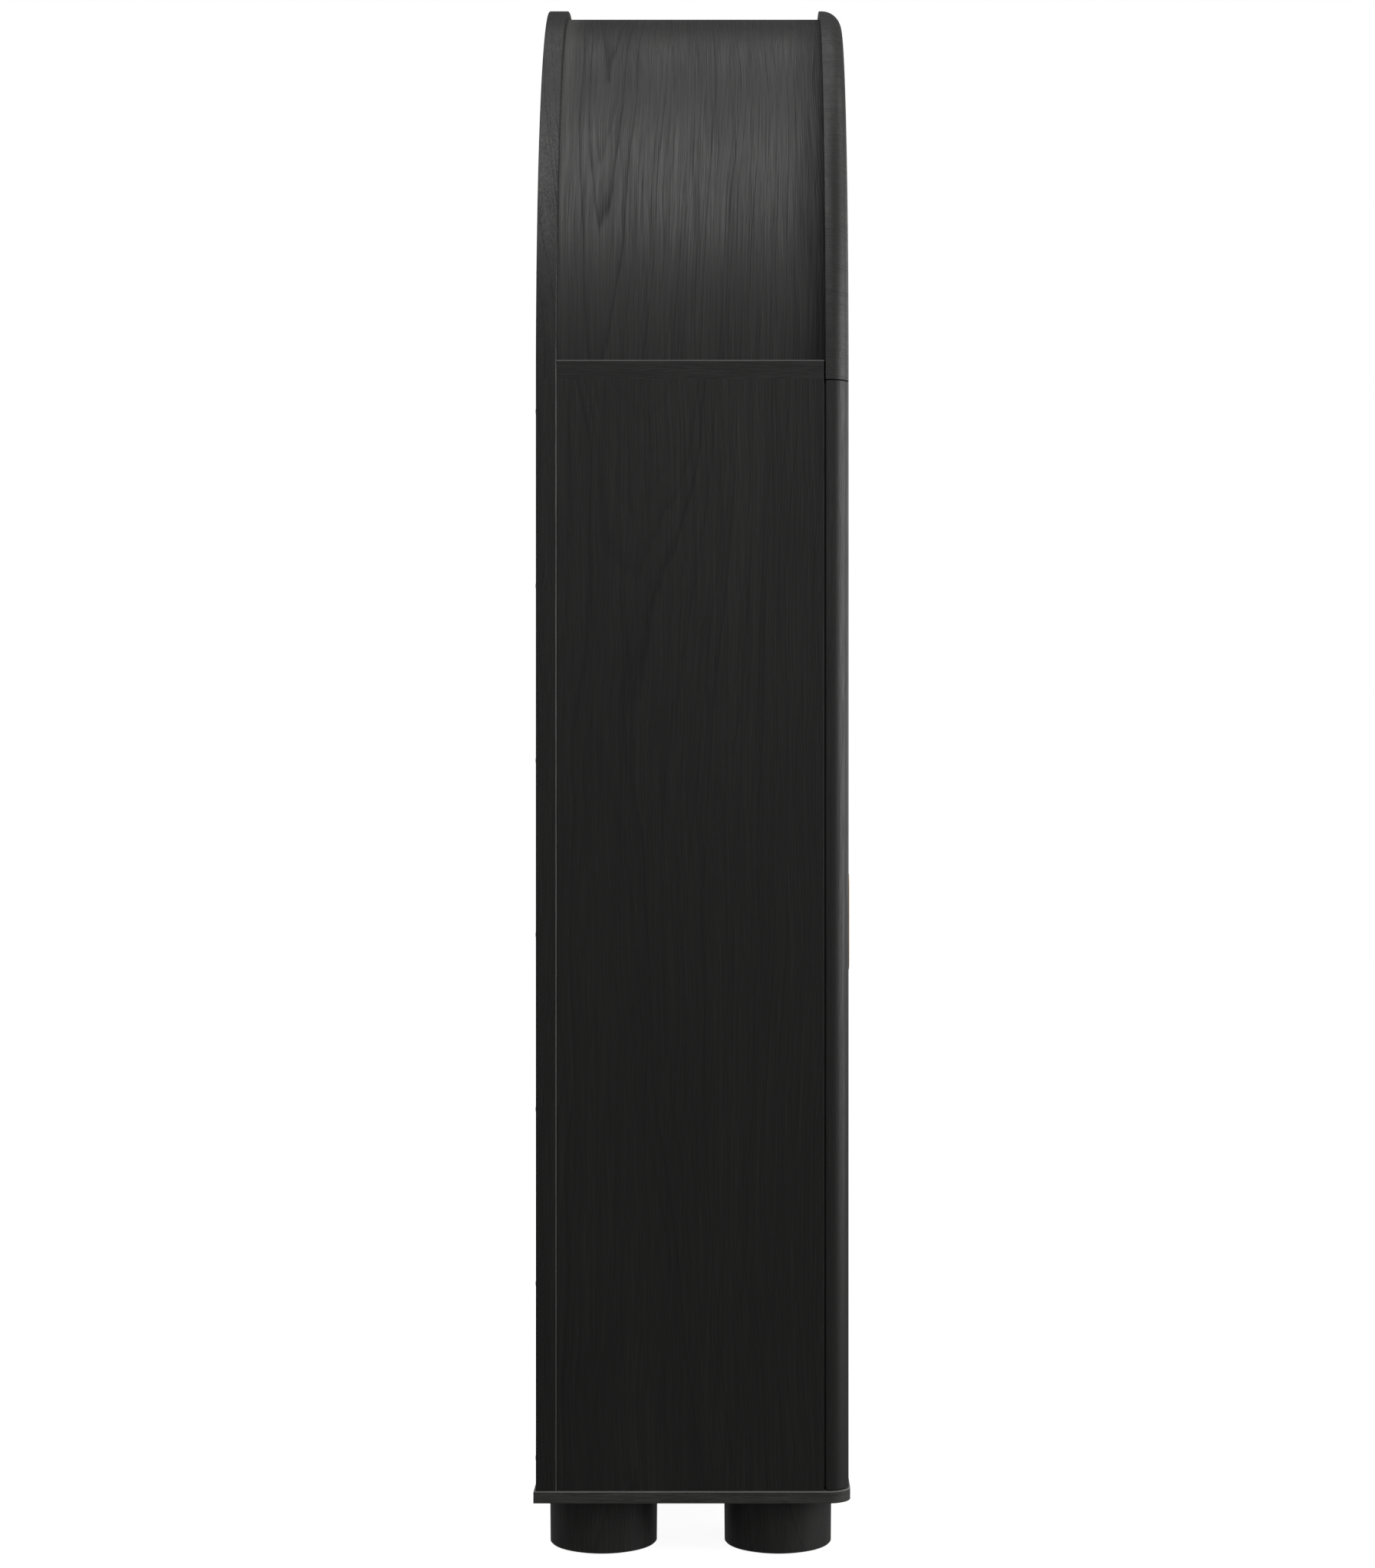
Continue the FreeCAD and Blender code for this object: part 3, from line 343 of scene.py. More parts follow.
def brushed_metal(name, colour, shade, rough, along="Z", fine=420.0):
    """Metal with fine parallel brush lines along one axis, and a faint tarnish."""
    s = Shader(name)
    parts = list(s.split(s.place))
    index = AXES[along]
    parts[index] = s.maths("MULTIPLY", parts[index], 0.03)
    lines = s.noise(s.join(*parts), fine * 4, 3.0, 0.7)
    cloud = s.noise(s.place, 22.0, 4.0, 0.6)
    matt = s.maths("ADD", s.maths("MULTIPLY", lines, 0.7), s.maths("MULTIPLY", cloud, 0.3))
    tarnish = s.ramp(cloud, (0.35, 0.0), (0.75, 1.0))
    s.put(Metallic=1.0, Base_Color=s.mix(tarnish, (*colour, 1), (*shade, 1)),
          Roughness=s.span(matt, rough * 0.7, rough * 1.35))
    s.bump(lines, 0.00004, 0.5)
    return s.material


def spun_metal(name, centre, axis, colour, shade, rough, pitch=0.0016):
    """Metal turned on a lathe: fine rings about an axis through a point."""
    s = Shader(name)
    xyz = s.split(s.place)
    others = [AXES[a] for a in "XYZ" if a != axis]
    squares = [s.maths("POWER", s.maths("ABSOLUTE", s.maths("SUBTRACT", xyz[i], centre[i])), 2.0)
               for i in others]
    radius = s.maths("SQRT", s.maths("ADD", *squares))
    rings = s.maths("SINE", s.maths("MULTIPLY", radius, 2 * math.pi / pitch))
    grit = s.noise(s.join(s.maths("MULTIPLY", radius, 900.0), 0.0, 0.0), 3.0, 4.0, 0.7)
    cloud = s.noise(s.place, 30.0, 4.0, 0.6)
    matt = s.maths("ADD", s.maths("MULTIPLY", grit, 0.6), s.maths("MULTIPLY", cloud, 0.4))
    tarnish = s.ramp(cloud, (0.35, 0.0), (0.8, 1.0))
    s.put(Metallic=1.0, Base_Color=s.mix(tarnish, (*colour, 1), (*shade, 1)),
          Roughness=s.span(matt, rough * 0.6, rough * 1.4))
    s.bump(s.maths("ADD", s.maths("MULTIPLY", rings, 0.25), grit), 0.00005, 0.5)
    return s.material


def satin_paint(name, colour, rough, speckle=0.04, orange_peel=260.0):
    """Even lacquer or enamel, with a faint mottling and orange peel."""
    s = Shader(name)
    cloud = s.noise(s.place, 14.0, 4.0, 0.6)
    darker = tuple(c * (1 - 2.5 * speckle) for c in colour)
    s.put(Base_Color=s.mix(cloud, (*colour, 1), (*darker, 1)),
          Roughness=s.span(s.noise(s.place, 60.0, 3.0), rough * 0.85, rough * 1.15))
    s.bump(s.noise(s.place, orange_peel, 2.0), 0.00003, 0.4)
    return s.material


def clear_glass(name):
    """Clear glass with hardly any shine, as coated display glass is."""
    s = Shader(name)
    s.put(Base_Color=(0.96, 0.98, 0.97, 1), Roughness=0.0, Transmission_Weight=1.0, IOR=1.18)
    return s.material


def woven_wire(name):
    """Twisted wire cable: slanting strands."""
    s = Shader(name)
    x, y, z = s.split(s.place)
    slant = s.maths("ADD", z, s.maths("ADD", x, y))
    twist = s.maths("SINE", s.maths("MULTIPLY", slant, 2 * math.pi / 0.0022))
    colour = s.mix(s.span(twist, 0.5, 1.0), (0.30, 0.27, 0.22, 1), (0.62, 0.58, 0.5, 1))
    s.put(Metallic=1.0, Base_Color=colour, Roughness=0.38)
    s.bump(twist, 0.0002, 0.6)
    return s.material


BRASS, BRASS_SHADE = (0.47, 0.31, 0.12), (0.35, 0.22, 0.085)
STEEL, STEEL_SHADE = (0.60, 0.60, 0.61), (0.46, 0.46, 0.47)


def middle(node):
    low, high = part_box(node)
    return (low + high) / 2


def make_materials():
    made = {name: black_wood(name, *settings) for name, settings in wood_settings().items()}
    dial = middle("dial_plate")
    made["brass_plate"] = brushed_metal("brass_plate", BRASS, BRASS_SHADE, 0.40)
    made["brass_wheel"] = brushed_metal("brass_wheel", BRASS, BRASS_SHADE, 0.34, "Y")
    made["brass_bezel"] = spun_metal("brass_bezel", dial, "Y", BRASS, BRASS_SHADE, 0.36)
    made["brass_pull"] = brushed_metal("brass_pull", BRASS, BRASS_SHADE, 0.40)
    made["brass_hand"] = brushed_metal("brass_hand", (0.40, 0.26, 0.10), (0.30, 0.19, 0.07), 0.36)
    made["brass_bob"] = spun_metal("brass_bob", middle("pendulum_bob"), "Y", BRASS, BRASS_SHADE, 0.32)
    made["brass_weight"] = spun_metal("brass_weight", middle("weight_shell"), "Z", BRASS, BRASS_SHADE, 0.30)
    made["steel"] = brushed_metal("steel", STEEL, STEEL_SHADE, 0.32)
    made["dark_steel"] = brushed_metal("dark_steel", (0.07, 0.07, 0.07), (0.05, 0.05, 0.05), 0.42)
    made["enamel"] = satin_paint("enamel", (0.78, 0.74, 0.65), 0.38, 0.02)
    made["black_lacquer"] = satin_paint("black_lacquer", (0.012, 0.012, 0.012), 0.30)
    made["plastic"] = satin_paint("plastic", (0.02, 0.02, 0.02), 0.5)
    made["rubber"] = satin_paint("rubber", (0.018, 0.018, 0.018), 0.8, 0.05, 900.0)
    made["glass"] = clear_glass("glass")
    made["wire"] = woven_wire("wire")
    return made


METAL_OF = {
    "movement_front_plate": "brass_plate", "movement_back_plate": "brass_plate",
    "movement_pillars": "brass_wheel", "suspension_cock": "brass_plate", "bezel_hinge": "brass_bezel",
    "bezel_ring": "brass_bezel", "door_pull": "brass_pull", "hour_hand": "brass_hand",
    "minute_hand": "brass_hand", "hand_nut": "brass_bezel", "pendulum_bob": "brass_bob",
    "weight_shell": "brass_weight", "rating_nut": "brass_wheel", "winding_drum": "brass_wheel",
    "great_wheel": "brass_wheel", "centre_wheel": "brass_wheel", "third_wheel": "brass_wheel",
    "escape_wheel": "brass_wheel", "hour_wheel": "brass_wheel", "motion_wheel": "brass_wheel",
    "weight_pulley": "brass_wheel", "weight_stirrup": "brass_plate", "cannon_pinion": "steel",
    "anchor": "steel", "suspension_spring": "steel", "pendulum_rod": "steel",
    "door_hinge_pins": "steel", "door_strike_plate": "steel", "wall_bracket": "steel",
    "door_hinge_case_leaves": "dark_steel", "door_hinge_door_leaves": "dark_steel",
    "door_magnet": "plastic", "foot_pads": "rubber", "door_glass": "glass", "bezel_glass": "glass",
    "dial_plate": "enamel", "hour_markers": "black_lacquer", "weight_cable": "wire",
}


def paint_frame(materials):
    for node, material in {**WOOD_OF, **METAL_OF}.items():
        mesh = nodes[node].data
        mesh.materials.clear()
        mesh.materials.append(materials[material])


# ---------------------------------------------------------------- camera, light and floor

CAMERA_DISTANCE = 3.668     # from the camera to the clock's left side
CAMERA_Y = -0.0485
CAMERA_Z = 0.975
LENS = 66.9
SHIFT = -0.0276             # sets the clock a little right of the picture's middle
ROOM_LIGHT, BACKDROP_LIGHT = 0.14, 1.0
FLOOR_RADIUS = 12.0
FLOOR_NEAR, FLOOR_FADE = 0.5, 2.5    # the floor whitens from this far out, over this distance


def aim(thing, target):
    thing.rotation_euler = (Vector(target) - thing.location).to_track_quat("-Z", "Y").to_euler()


def make_camera():
    data = bpy.data.cameras.new("camera")
    data.lens, data.sensor_width, data.shift_x = LENS, 36.0, SHIFT
    data.clip_start, data.clip_end = 0.05, 60.0
    camera = bpy.data.objects.new("camera", data)
    bpy.context.scene.collection.objects.link(camera)
    side_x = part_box("trunk_side_left")[0].x
    camera.location = (side_x - CAMERA_DISTANCE, CAMERA_Y, CAMERA_Z)
    aim(camera, (0, CAMERA_Y, CAMERA_Z))
    bpy.context.scene.camera = camera


def soft_light(name, place, target, width, height, watts):
    data = bpy.data.lights.new(name, "AREA")
    data.shape, data.size, data.size_y, data.energy = "RECTANGLE", width, height, watts
    light = bpy.data.objects.new(name, data)
    bpy.context.scene.collection.objects.link(light)
    light.location = place
    aim(light, target)


def make_lights():
    soft_light("key", (-2.76, 0.15, 4.9), (-0.3, 0.0, 1.7), 2.2, 2.4, 58)
    soft_light("overhead", (-0.13, -0.6, 5.2), (-0.13, -0.6, 0.0), 2.8, 3.5, 36)
    soft_light("front", (-0.7, -3.8, 1.5), (-0.3, 0, 1.25), 3.2, 2.7, 100)
    soft_light("front_high", (0.5, -3.7, 4.1), (-0.2, 0, 1.8), 2.4, 1.9, 16)
    soft_light("left", (-4.8, -0.9, 3.2), (0, 0, 1.2), 3.2, 3.2, 22)
    soft_light("right", (3.2, -3.0, 1.7), (0.1, 0, 1.2), 2.0, 2.5, 20)
    soft_light("behind", (2.2, 3.6, 2.4), (0, 0, 1.1), 2.4, 2.4, 60)


def background(nodes_of_world, strength):
    node = nodes_of_world.add("ShaderNodeBackground")
    node.inputs["Color"].default_value = (1, 1, 1, 1)
    node.inputs["Strength"].default_value = strength
    return node.outputs[0]


def make_world():
    """A dim room for the light, and a plain white backdrop for the camera, also through glass."""
    world = bpy.data.worlds.new("studio")
    bpy.context.scene.world = world
    world.use_nodes = True
    w = Nodes(world.node_tree)
    path = w.add("ShaderNodeLightPath").outputs
    bounces = w.maths("ADD", path["Diffuse Depth"], path["Glossy Depth"])
    through_glass = w.maths("MULTIPLY", path["Is Transmission Ray"], w.maths("LESS_THAN", bounces, 0.5))
    choose = w.add("ShaderNodeMixShader")
    w.feed(choose.inputs[0], w.maths("MAXIMUM", path["Is Camera Ray"], through_glass))
    w.feed(choose.inputs[1], background(w, ROOM_LIGHT))
    w.feed(choose.inputs[2], background(w, BACKDROP_LIGHT))
    w.feed(w.tree.nodes["World Output"].inputs["Surface"], choose.outputs[0])


def make_floor():
    """Pale floor that throws no light of its own on to the clock and fades to the backdrop's white."""
    mesh = bpy.data.meshes.new("floor")
    edit = bmesh.new()
    bmesh.ops.create_circle(edit, cap_ends=True, segments=96, radius=FLOOR_RADIUS)
    edit.to_mesh(mesh)
    edit.free()
    floor = bpy.data.objects.new("floor", mesh)
    bpy.context.scene.collection.objects.link(floor)
    floor.visible_diffuse = floor.visible_glossy = False
    s = Shader("pale_floor")
    x, y, _ = s.split(s.place)
    distance = s.maths("SQRT", s.maths("ADD", s.maths("MULTIPLY", x, x), s.maths("MULTIPLY", y, y)))
    far = clamped_line(s, distance, 1 / FLOOR_FADE, -FLOOR_NEAR / FLOOR_FADE)
    s.put(Base_Color=(0.40, 0.40, 0.40, 1), Roughness=0.9, Specular_IOR_Level=0.0,
          Emission_Color=(1, 1, 1, 1), Emission_Strength=s.span(far, 0.94, 1.0))
    mesh.materials.append(s.material)


# ---------------------------------------------------------------- mesh helpers

def new_piece(name, edit, material, body, smooth=True):
    """Turns a bmesh into a piece that rides on a CAD body, unless body is None."""
    bmesh.ops.recalc_face_normals(edit, faces=edit.faces)
    mesh = bpy.data.meshes.new(name)
    edit.to_mesh(mesh)
    edit.free()
    mesh.materials.append(material)
    if smooth:
        mesh.shade_smooth()
        mesh.set_sharp_from_angle(angle=math.radians(35))
    piece = bpy.data.objects.new(name, mesh)
    bpy.context.scene.collection.objects.link(piece)
    if body:
        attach(piece, body)
    return piece


def turn(edit, profile, centre, axis="Y", steps=64):
    """Turns a closed (radius, distance along the axis) profile about an axis through centre.

    A point on the axis is one vertex, and the stretch between two of them makes no face.
    """
    def vertex(radius, along, angle):
        a, b = radius * math.cos(angle), radius * math.sin(angle)
        offset = {"X": (along, a, b), "Y": (a, along, b), "Z": (a, b, along)}[axis]
        return edit.verts.new(Vector(centre) + Vector(offset))

    on_axis = {i: vertex(0.0, along, 0.0) for i, (radius, along) in enumerate(profile) if radius == 0}
    rings = [[on_axis.get(i) or vertex(radius, along, 2 * math.pi * step / steps)
              for i, (radius, along) in enumerate(profile)] for step in range(steps)]
    count = len(profile)
    for one, two in zip(rings, rings[1:] + rings[:1]):
        for i in range(count):
            j = (i + 1) % count
            corners = list(dict.fromkeys((one[i], one[j], two[j], two[i])))
            if len(corners) > 2:
                edit.faces.new(corners)


def block(edit, low, high, bevel=0.0):
    """Box between two corners, with bevelled edges."""
    low, high = Vector(low), Vector(high)
    size = high - low
    place = Matrix.Translation((low + high) / 2) @ Matrix.Diagonal((*size, 1))
    made = bmesh.ops.create_cube(edit, size=1, matrix=place)
    if bevel:
        edges = list({e for v in made["verts"] for e in v.link_edges})
        bmesh.ops.bevel(edit, geom=edges, offset=bevel, segments=2, affect="EDGES", profile=0.7)
    return made["verts"]


def tube(edit, points, radius, sides=10):
    """Round tube along a list of points, with closed ends."""
    rings = []
    for index, point in enumerate(points):
        before, after = points[max(index - 1, 0)], points[min(index + 1, len(points) - 1)]
        heading = (after - before).normalized()
        side = heading.orthogonal() if not rings else side - heading * side.dot(heading)
        side.normalize()
        up = heading.cross(side)
        rings.append([edit.verts.new(point + radius * (math.cos(a) * side + math.sin(a) * up))
                      for a in (2 * math.pi * k / sides for k in range(sides))])
    for one, two in zip(rings, rings[1:]):
        for k in range(sides):
            edit.faces.new((one[k], one[(k + 1) % sides], two[(k + 1) % sides], two[k]))
    edit.faces.new(rings[0])
    edit.faces.new(rings[-1])


def loop_strip(edit, outline, section):
    """Sweeps a closed section round a flat closed outline that faces -Y.

    The outline is a list of (point, outward direction) pairs, and the section one of (outward, y) pairs.
    """
    rings = []
    for point, outward in outline:
        rings.append([edit.verts.new((point[0] + out * outward[0], y, point[1] + out * outward[1]))
                      for out, y in section])
    for index, one in enumerate(rings):
        two = rings[(index + 1) % len(rings)]
        for i in range(len(section)):
            j = (i + 1) % len(section)
            edit.faces.new((one[i], one[j], two[j], two[i]))


def rectangle_outline(x0, x1, z0, z1):
    """Corners of a rectangle, with mitred outward directions."""
    return [((x0, z0), (-1, -1)), ((x1, z0), (1, -1)), ((x1, z1), (1, 1)), ((x0, z1), (-1, 1))]


def circle_outline(x, z, radius, steps=96):
    turns = [2 * math.pi * step / steps for step in range(steps)]
    return [((x + radius * math.cos(a), z + radius * math.sin(a)), (math.cos(a), math.sin(a)))
            for a in turns]


def stadium_outline(x, z, radius, straight, steps=16):
    """Upright round-ended outline, with its two ends' centres straight above and below the middle."""
    outline = []
    for end in (1, -1):
        for step in range(steps + 1):
            angle = math.pi * step / steps + (0 if end > 0 else math.pi)
            outward = (math.cos(angle), math.sin(angle))
            outline.append(((x + radius * outward[0], z + end * straight + radius * outward[1]), outward))
    return outline


def screw_head(edit, x, y, z, radius, proud, facing=-1):
    """Domed screw head with a cross recess, on a face that looks along -Y or +Y."""
    steps = 24
    slot, arm = radius * 0.14, radius * 0.58
    levels = [(1.0, 0.0), (0.97, 0.45), (0.84, 0.85)]
    rings = []
    for share, lift in levels:
        rings.append([(radius * share, proud * lift)] * steps)
    cross = []
    for step in range(steps):
        c, n = abs(math.cos(2 * math.pi * step / steps)), abs(math.sin(2 * math.pi * step / steps))
        along_x = min(arm / max(c, 1e-6), slot / max(n, 1e-6))
        along_z = min(arm / max(n, 1e-6), slot / max(c, 1e-6))
        cross.append(max(along_x, along_z))
    rings.append([(r, proud) for r in cross])
    rings.append([(r * 0.8, proud * 0.25) for r in cross])
    made = []
    for ring in rings:
        made.append([edit.verts.new((x + r * math.cos(2 * math.pi * k / steps), y + facing * lift,
                                     z + r * math.sin(2 * math.pi * k / steps)))
                     for k, (r, lift) in enumerate(ring)])
    for one, two in zip(made, made[1:]):
        for k in range(steps):
            edit.faces.new((one[k], one[(k + 1) % steps], two[(k + 1) % steps], two[k]))
    edit.faces.new(made[-1])
    edit.faces.new(made[0])


def screws(name, places, radius, proud, body, slot, facing=-1):
    edit = bmesh.new()
    for x, y, z in places:
        screw_head(edit, x, y, z, radius, proud, facing)
    return new_piece(name, edit, materials[slot], body)


# ---------------------------------------------------------------- case fittings

def make_case_screws():
    """Screws that hold the back panel and the back arch."""
    low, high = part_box("trunk_back_panel")
    y = high.y
    edge_inset, end_inset, foot_inset, arch_inset = 10 * MM, 40 * MM, 12 * MM, 14 * MM
    rows, arch_steps = 7, 12
    step = (high.z - low.z - 2 * end_inset) / (rows - 1)
    places = [(side * (high.x - edge_inset), y, low.z + end_inset + row * step)
              for side in (-1, 1) for row in range(rows)]
    places += [(x * MM, y, low.z + foot_inset) for x in (-200, -70, 70, 200)]
    arch_low, arch_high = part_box("hood_back_arch")
    half, rise = arch_high.x - arch_inset, arch_high.z - arch_low.z - arch_inset
    for index in range(1, arch_steps):
        angle = math.pi * index / arch_steps
        places.append((half * math.cos(angle), y, arch_low.z + rise * math.sin(angle)))
    screws("back_screws", places, radius=3.6 * MM, proud=0.9 * MM, body="root", slot="dark_steel",
           facing=1)


def make_dust_seal():
    """Fibre strips in the gap behind the door, which stop dust and light."""
    front_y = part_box("trunk_side_left")[0].y
    door_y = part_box("door_stile_left")[1].y
    case_low, case_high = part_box("trunk_side_right")
    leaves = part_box("door_hinge_case_leaves")
    edit = bmesh.new()
    clear, end_inset, outer_inset, width, edge = 0.15 * MM, 4 * MM, 5 * MM, 7 * MM, 0.5 * MM
    y0, y1 = door_y + clear, front_y
    z0, z1 = case_low.z + end_inset, case_high.z - end_inset
    x1 = case_high.x - outer_inset
    x0 = x1 - width
    block(edit, (-x1, y0, z0), (-x0, y1, z1), edge)
    hinge_length = (leaves[1].z - leaves[0].z) - 2 * DOOR_HINGE_PITCH
    hinge_gap = 2 * MM
    stops = [z0]
    for index in range(3):
        bottom = leaves[0].z + index * DOOR_HINGE_PITCH
        stops += [bottom - hinge_gap, bottom + hinge_length + hinge_gap]
    stops.append(z1)
    for bottom, top in zip(stops[::2], stops[1::2]):
        block(edit, (x0, y0, bottom), (x1, y1, top), edge)
    new_piece("door_dust_seal", edit, materials["rubber"], "root", smooth=False)


# ---------------------------------------------------------------- dial

def make_minute_track():
    """Sixty ticks between two fine rings, raised a hair from the dial."""
    centre = middle("dial_plate")
    face_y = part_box("dial_plate")[0].y
    proud, inner, outer = 0.25 * MM, 180.6 * MM, 185.4 * MM
    half_line, half_fine, half_bold = 0.4 * MM, 0.6 * MM, 1.2 * MM
    front_y = face_y - proud
    edit = bmesh.new()
    for radius in (inner, outer):
        section = [(-half_line, face_y), (-half_line, front_y), (half_line, front_y), (half_line, face_y)]
        loop_strip(edit, circle_outline(centre.x, centre.z, radius, 180), section)
    for minute in range(60):
        half = half_bold if minute % 5 == 0 else half_fine
        made = block(edit, (-half, front_y, inner), (half, face_y, outer))
        turned = Matrix.Translation((centre.x, 0, centre.z)) @ Matrix.Rotation(
            math.radians(6 * minute), 4, "Y")
        bmesh.ops.transform(edit, matrix=turned, verts=made)
    new_piece("dial_minute_track", edit, materials["black_lacquer"], "root", smooth=False)


def make_dial_surround():
    """Stepped brass ring that closes the opening round the dial."""
    centre = middle("dial_plate")
    face_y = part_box("dial_plate")[0].y
    profile = [(188.5, 0.0), (188.5, -1.0), (190.5, -2.2), (190.5, -4.0), (193.0, -5.5),
               (193.0, -12.0), (194.2, -13.2), (195.6, -13.2), (195.6, 0.0)]
    edit = bmesh.new()
    turn(edit, [(r * MM, face_y + y * MM) for r, y in profile], (centre.x, 0, centre.z), steps=128)
    new_piece("dial_surround", edit, materials["brass_bezel"], "root")


def make_bezel_hinge_screws():
    """Two small screws in the leaf that holds the bezel's hinge."""
    low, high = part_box("bezel_hinge")
    edge_inset, knuckle_proud, spread = 6 * MM, 1 * MM, 14 * MM
    x, y, z = high.x - edge_inset, low.y + knuckle_proud, (low.z + high.z) / 2
    screws("bezel_hinge_screws", [(x, y, z + side * spread) for side in (-1, 1)],
           radius=2.4 * MM, proud=0.5 * MM, body="root", slot="steel")


# ---------------------------------------------------------------- movement

def make_plate_screws():
    low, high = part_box("movement_pillars")
    plate_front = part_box("movement_back_plate")[0].y - (high.y - low.y) - PLATE_THICK
    plate_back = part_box("movement_back_plate")[1].y
    r = PILLAR_RADIUS
    corners = [(side * (high.x - r), z) for side in (-1, 1) for z in (low.z + r, high.z - r)]
    for name, y, facing in (("front_plate_screws", plate_front, -1), ("back_plate_screws", plate_back, 1)):
        screws(name, [(x, y, z) for x, z in corners], radius=4.6 * MM, proud=1.6 * MM,
               body="root", slot="steel", facing=facing)


def make_drum_cable():
    """Cable wound on the drum, and its run down through the seatboard."""
    drum_low, drum_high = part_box("winding_drum")
    axis_z = (drum_low.z + drum_high.z) / 2
    cable_low, cable_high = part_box("weight_cable")
    run_x, run_y = cable_high.x - CABLE_RADIUS, (cable_low.y + cable_high.y) / 2
    clear = 11 * MM                 # the turns stop this far in front of the back plate
    back_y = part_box("movement_back_plate")[0].y - clear
    pitch = 2.1 * CABLE_RADIUS
    steps_a_turn = 28
    turns = int((back_y - run_y) / pitch)
    points = []
    for step in range(turns * steps_a_turn + 1):
        angle = 2 * math.pi * step / steps_a_turn
        points.append(Vector((run_x * math.cos(angle), run_y + pitch * step / steps_a_turn,
                              axis_z + run_x * math.sin(angle))))
    edit = bmesh.new()
    tube(edit, points, CABLE_RADIUS, 8)
    new_piece("drum_cable_turns", edit, materials["wire"], "drum")
    edit = bmesh.new()
    straight = [Vector((run_x, run_y, z)) for z in (axis_z, (axis_z + cable_high.z) / 2, cable_high.z)]
    tube(edit, straight, CABLE_RADIUS, 12)
    new_piece("drum_cable_run", edit, materials["wire"], "root")


def make_cable_anchor():
    """Brass ferrule on the seatboard that holds the cable's fixed end."""
    seat_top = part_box("seatboard")[1].z
    cable_low, cable_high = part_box("weight_cable")
    x, y = -(cable_high.x - CABLE_RADIUS), (cable_low.y + cable_high.y) / 2
    profile = [(0.0, 0.0), (5.0, 0.0), (5.0, 1.0), (4.4, 1.5), (2.8, 1.5), (2.8, 7.0), (2.2, 8.0),
               (0.0, 8.0)]
    edit = bmesh.new()
    turn(edit, [(r * MM, z * MM) for r, z in profile], (x, y, seat_top), "Z", 32)
    new_piece("cable_anchor", edit, materials["brass_wheel"], "root")
    edit = bmesh.new()
    cut_end = seat_top + 9.5 * MM   # just out of the ferrule's top
    tube(edit, [Vector((x, y, z)) for z in (cable_high.z, cut_end)], CABLE_RADIUS, 12)
    new_piece("cable_fixed_end", edit, materials["wire"], "root")


def make_hanging_cable():
    """The two runs and the half turn under the pulley."""
    low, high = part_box("weight_cable")
    half, y = high.x - CABLE_RADIUS, (low.y + high.y) / 2
    pulley_z = low.z + high.x
    steps = 24
    points = [Vector((-half, y, high.z)), Vector((-half, y, (high.z + pulley_z) / 2))]
    points += [Vector((half * math.cos(a), y, pulley_z + half * math.sin(a)))
               for a in (math.pi + math.pi * k / steps for k in range(steps + 1))]
    points += [Vector((half, y, (high.z + pulley_z) / 2)), Vector((half, y, high.z))]
    edit = bmesh.new()
    tube(edit, points, CABLE_RADIUS, 12)
    piece = new_piece("hanging_cable", edit, materials["wire"], None)
    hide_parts("weight_cable")
    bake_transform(piece)


# ---------------------------------------------------------------- door fittings

def make_pull_trim():
    """Rolled brass rim round the flush pull, and the two screws inside it."""
    low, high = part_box("door_pull")
    x, z = (low.x + high.x) / 2, (low.z + high.z) / 2
    radius = (high.x - low.x) / 2
    straight = (high.z - low.z) / 2 - radius
    y = low.y
    section = [(-1.5 * MM, y + 0.1 * MM), (-1.5 * MM, y - 0.35 * MM), (-0.7 * MM, y - 0.9 * MM),
               (0.6 * MM, y - 0.9 * MM), (1.6 * MM, y - 0.35 * MM), (1.6 * MM, y)]
    edit = bmesh.new()
    loop_strip(edit, stadium_outline(x, z, radius, straight), section)
    new_piece("pull_rim", edit, materials["brass_pull"], "trunk_door")
    floor_thickness, spread = 1.5 * MM, 0.7 * straight
    floor_y = high.y - floor_thickness
    screws("pull_screws", [(x, floor_y, z + end * spread) for end in (-1, 1)],
           radius=3.2 * MM, proud=1.0 * MM, body="trunk_door", slot="steel")


def make_glass_seal():
    """Slim black seal along the front of the pane."""
    rail_low, rail_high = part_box("door_rail_bottom")
    x0, x1 = rail_low.x, rail_high.x
    z0, z1 = rail_high.z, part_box("door_rail_top")[0].z
    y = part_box("door_glass")[0].y
    section = [(-2.6 * MM, y), (-2.2 * MM, y - 0.9 * MM), (-0.9 * MM, y - 2.2 * MM), (0.0, y - 2.6 * MM),
               (0.0, y)]
    edit = bmesh.new()
    loop_strip(edit, rectangle_outline(x0, x1, z0, z1), section)
    new_piece("door_glass_seal", edit, materials["rubber"], "trunk_door", smooth=False)


def make_catch_screws():
    low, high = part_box("door_strike_plate")
    x, end_inset = (low.x + high.x) / 2, 8 * MM
    screws("strike_screws", [(x, high.y, z) for z in (low.z + end_inset, high.z - end_inset)],
           radius=2.6 * MM, proud=0.2 * MM, body="trunk_door", slot="steel", facing=1)


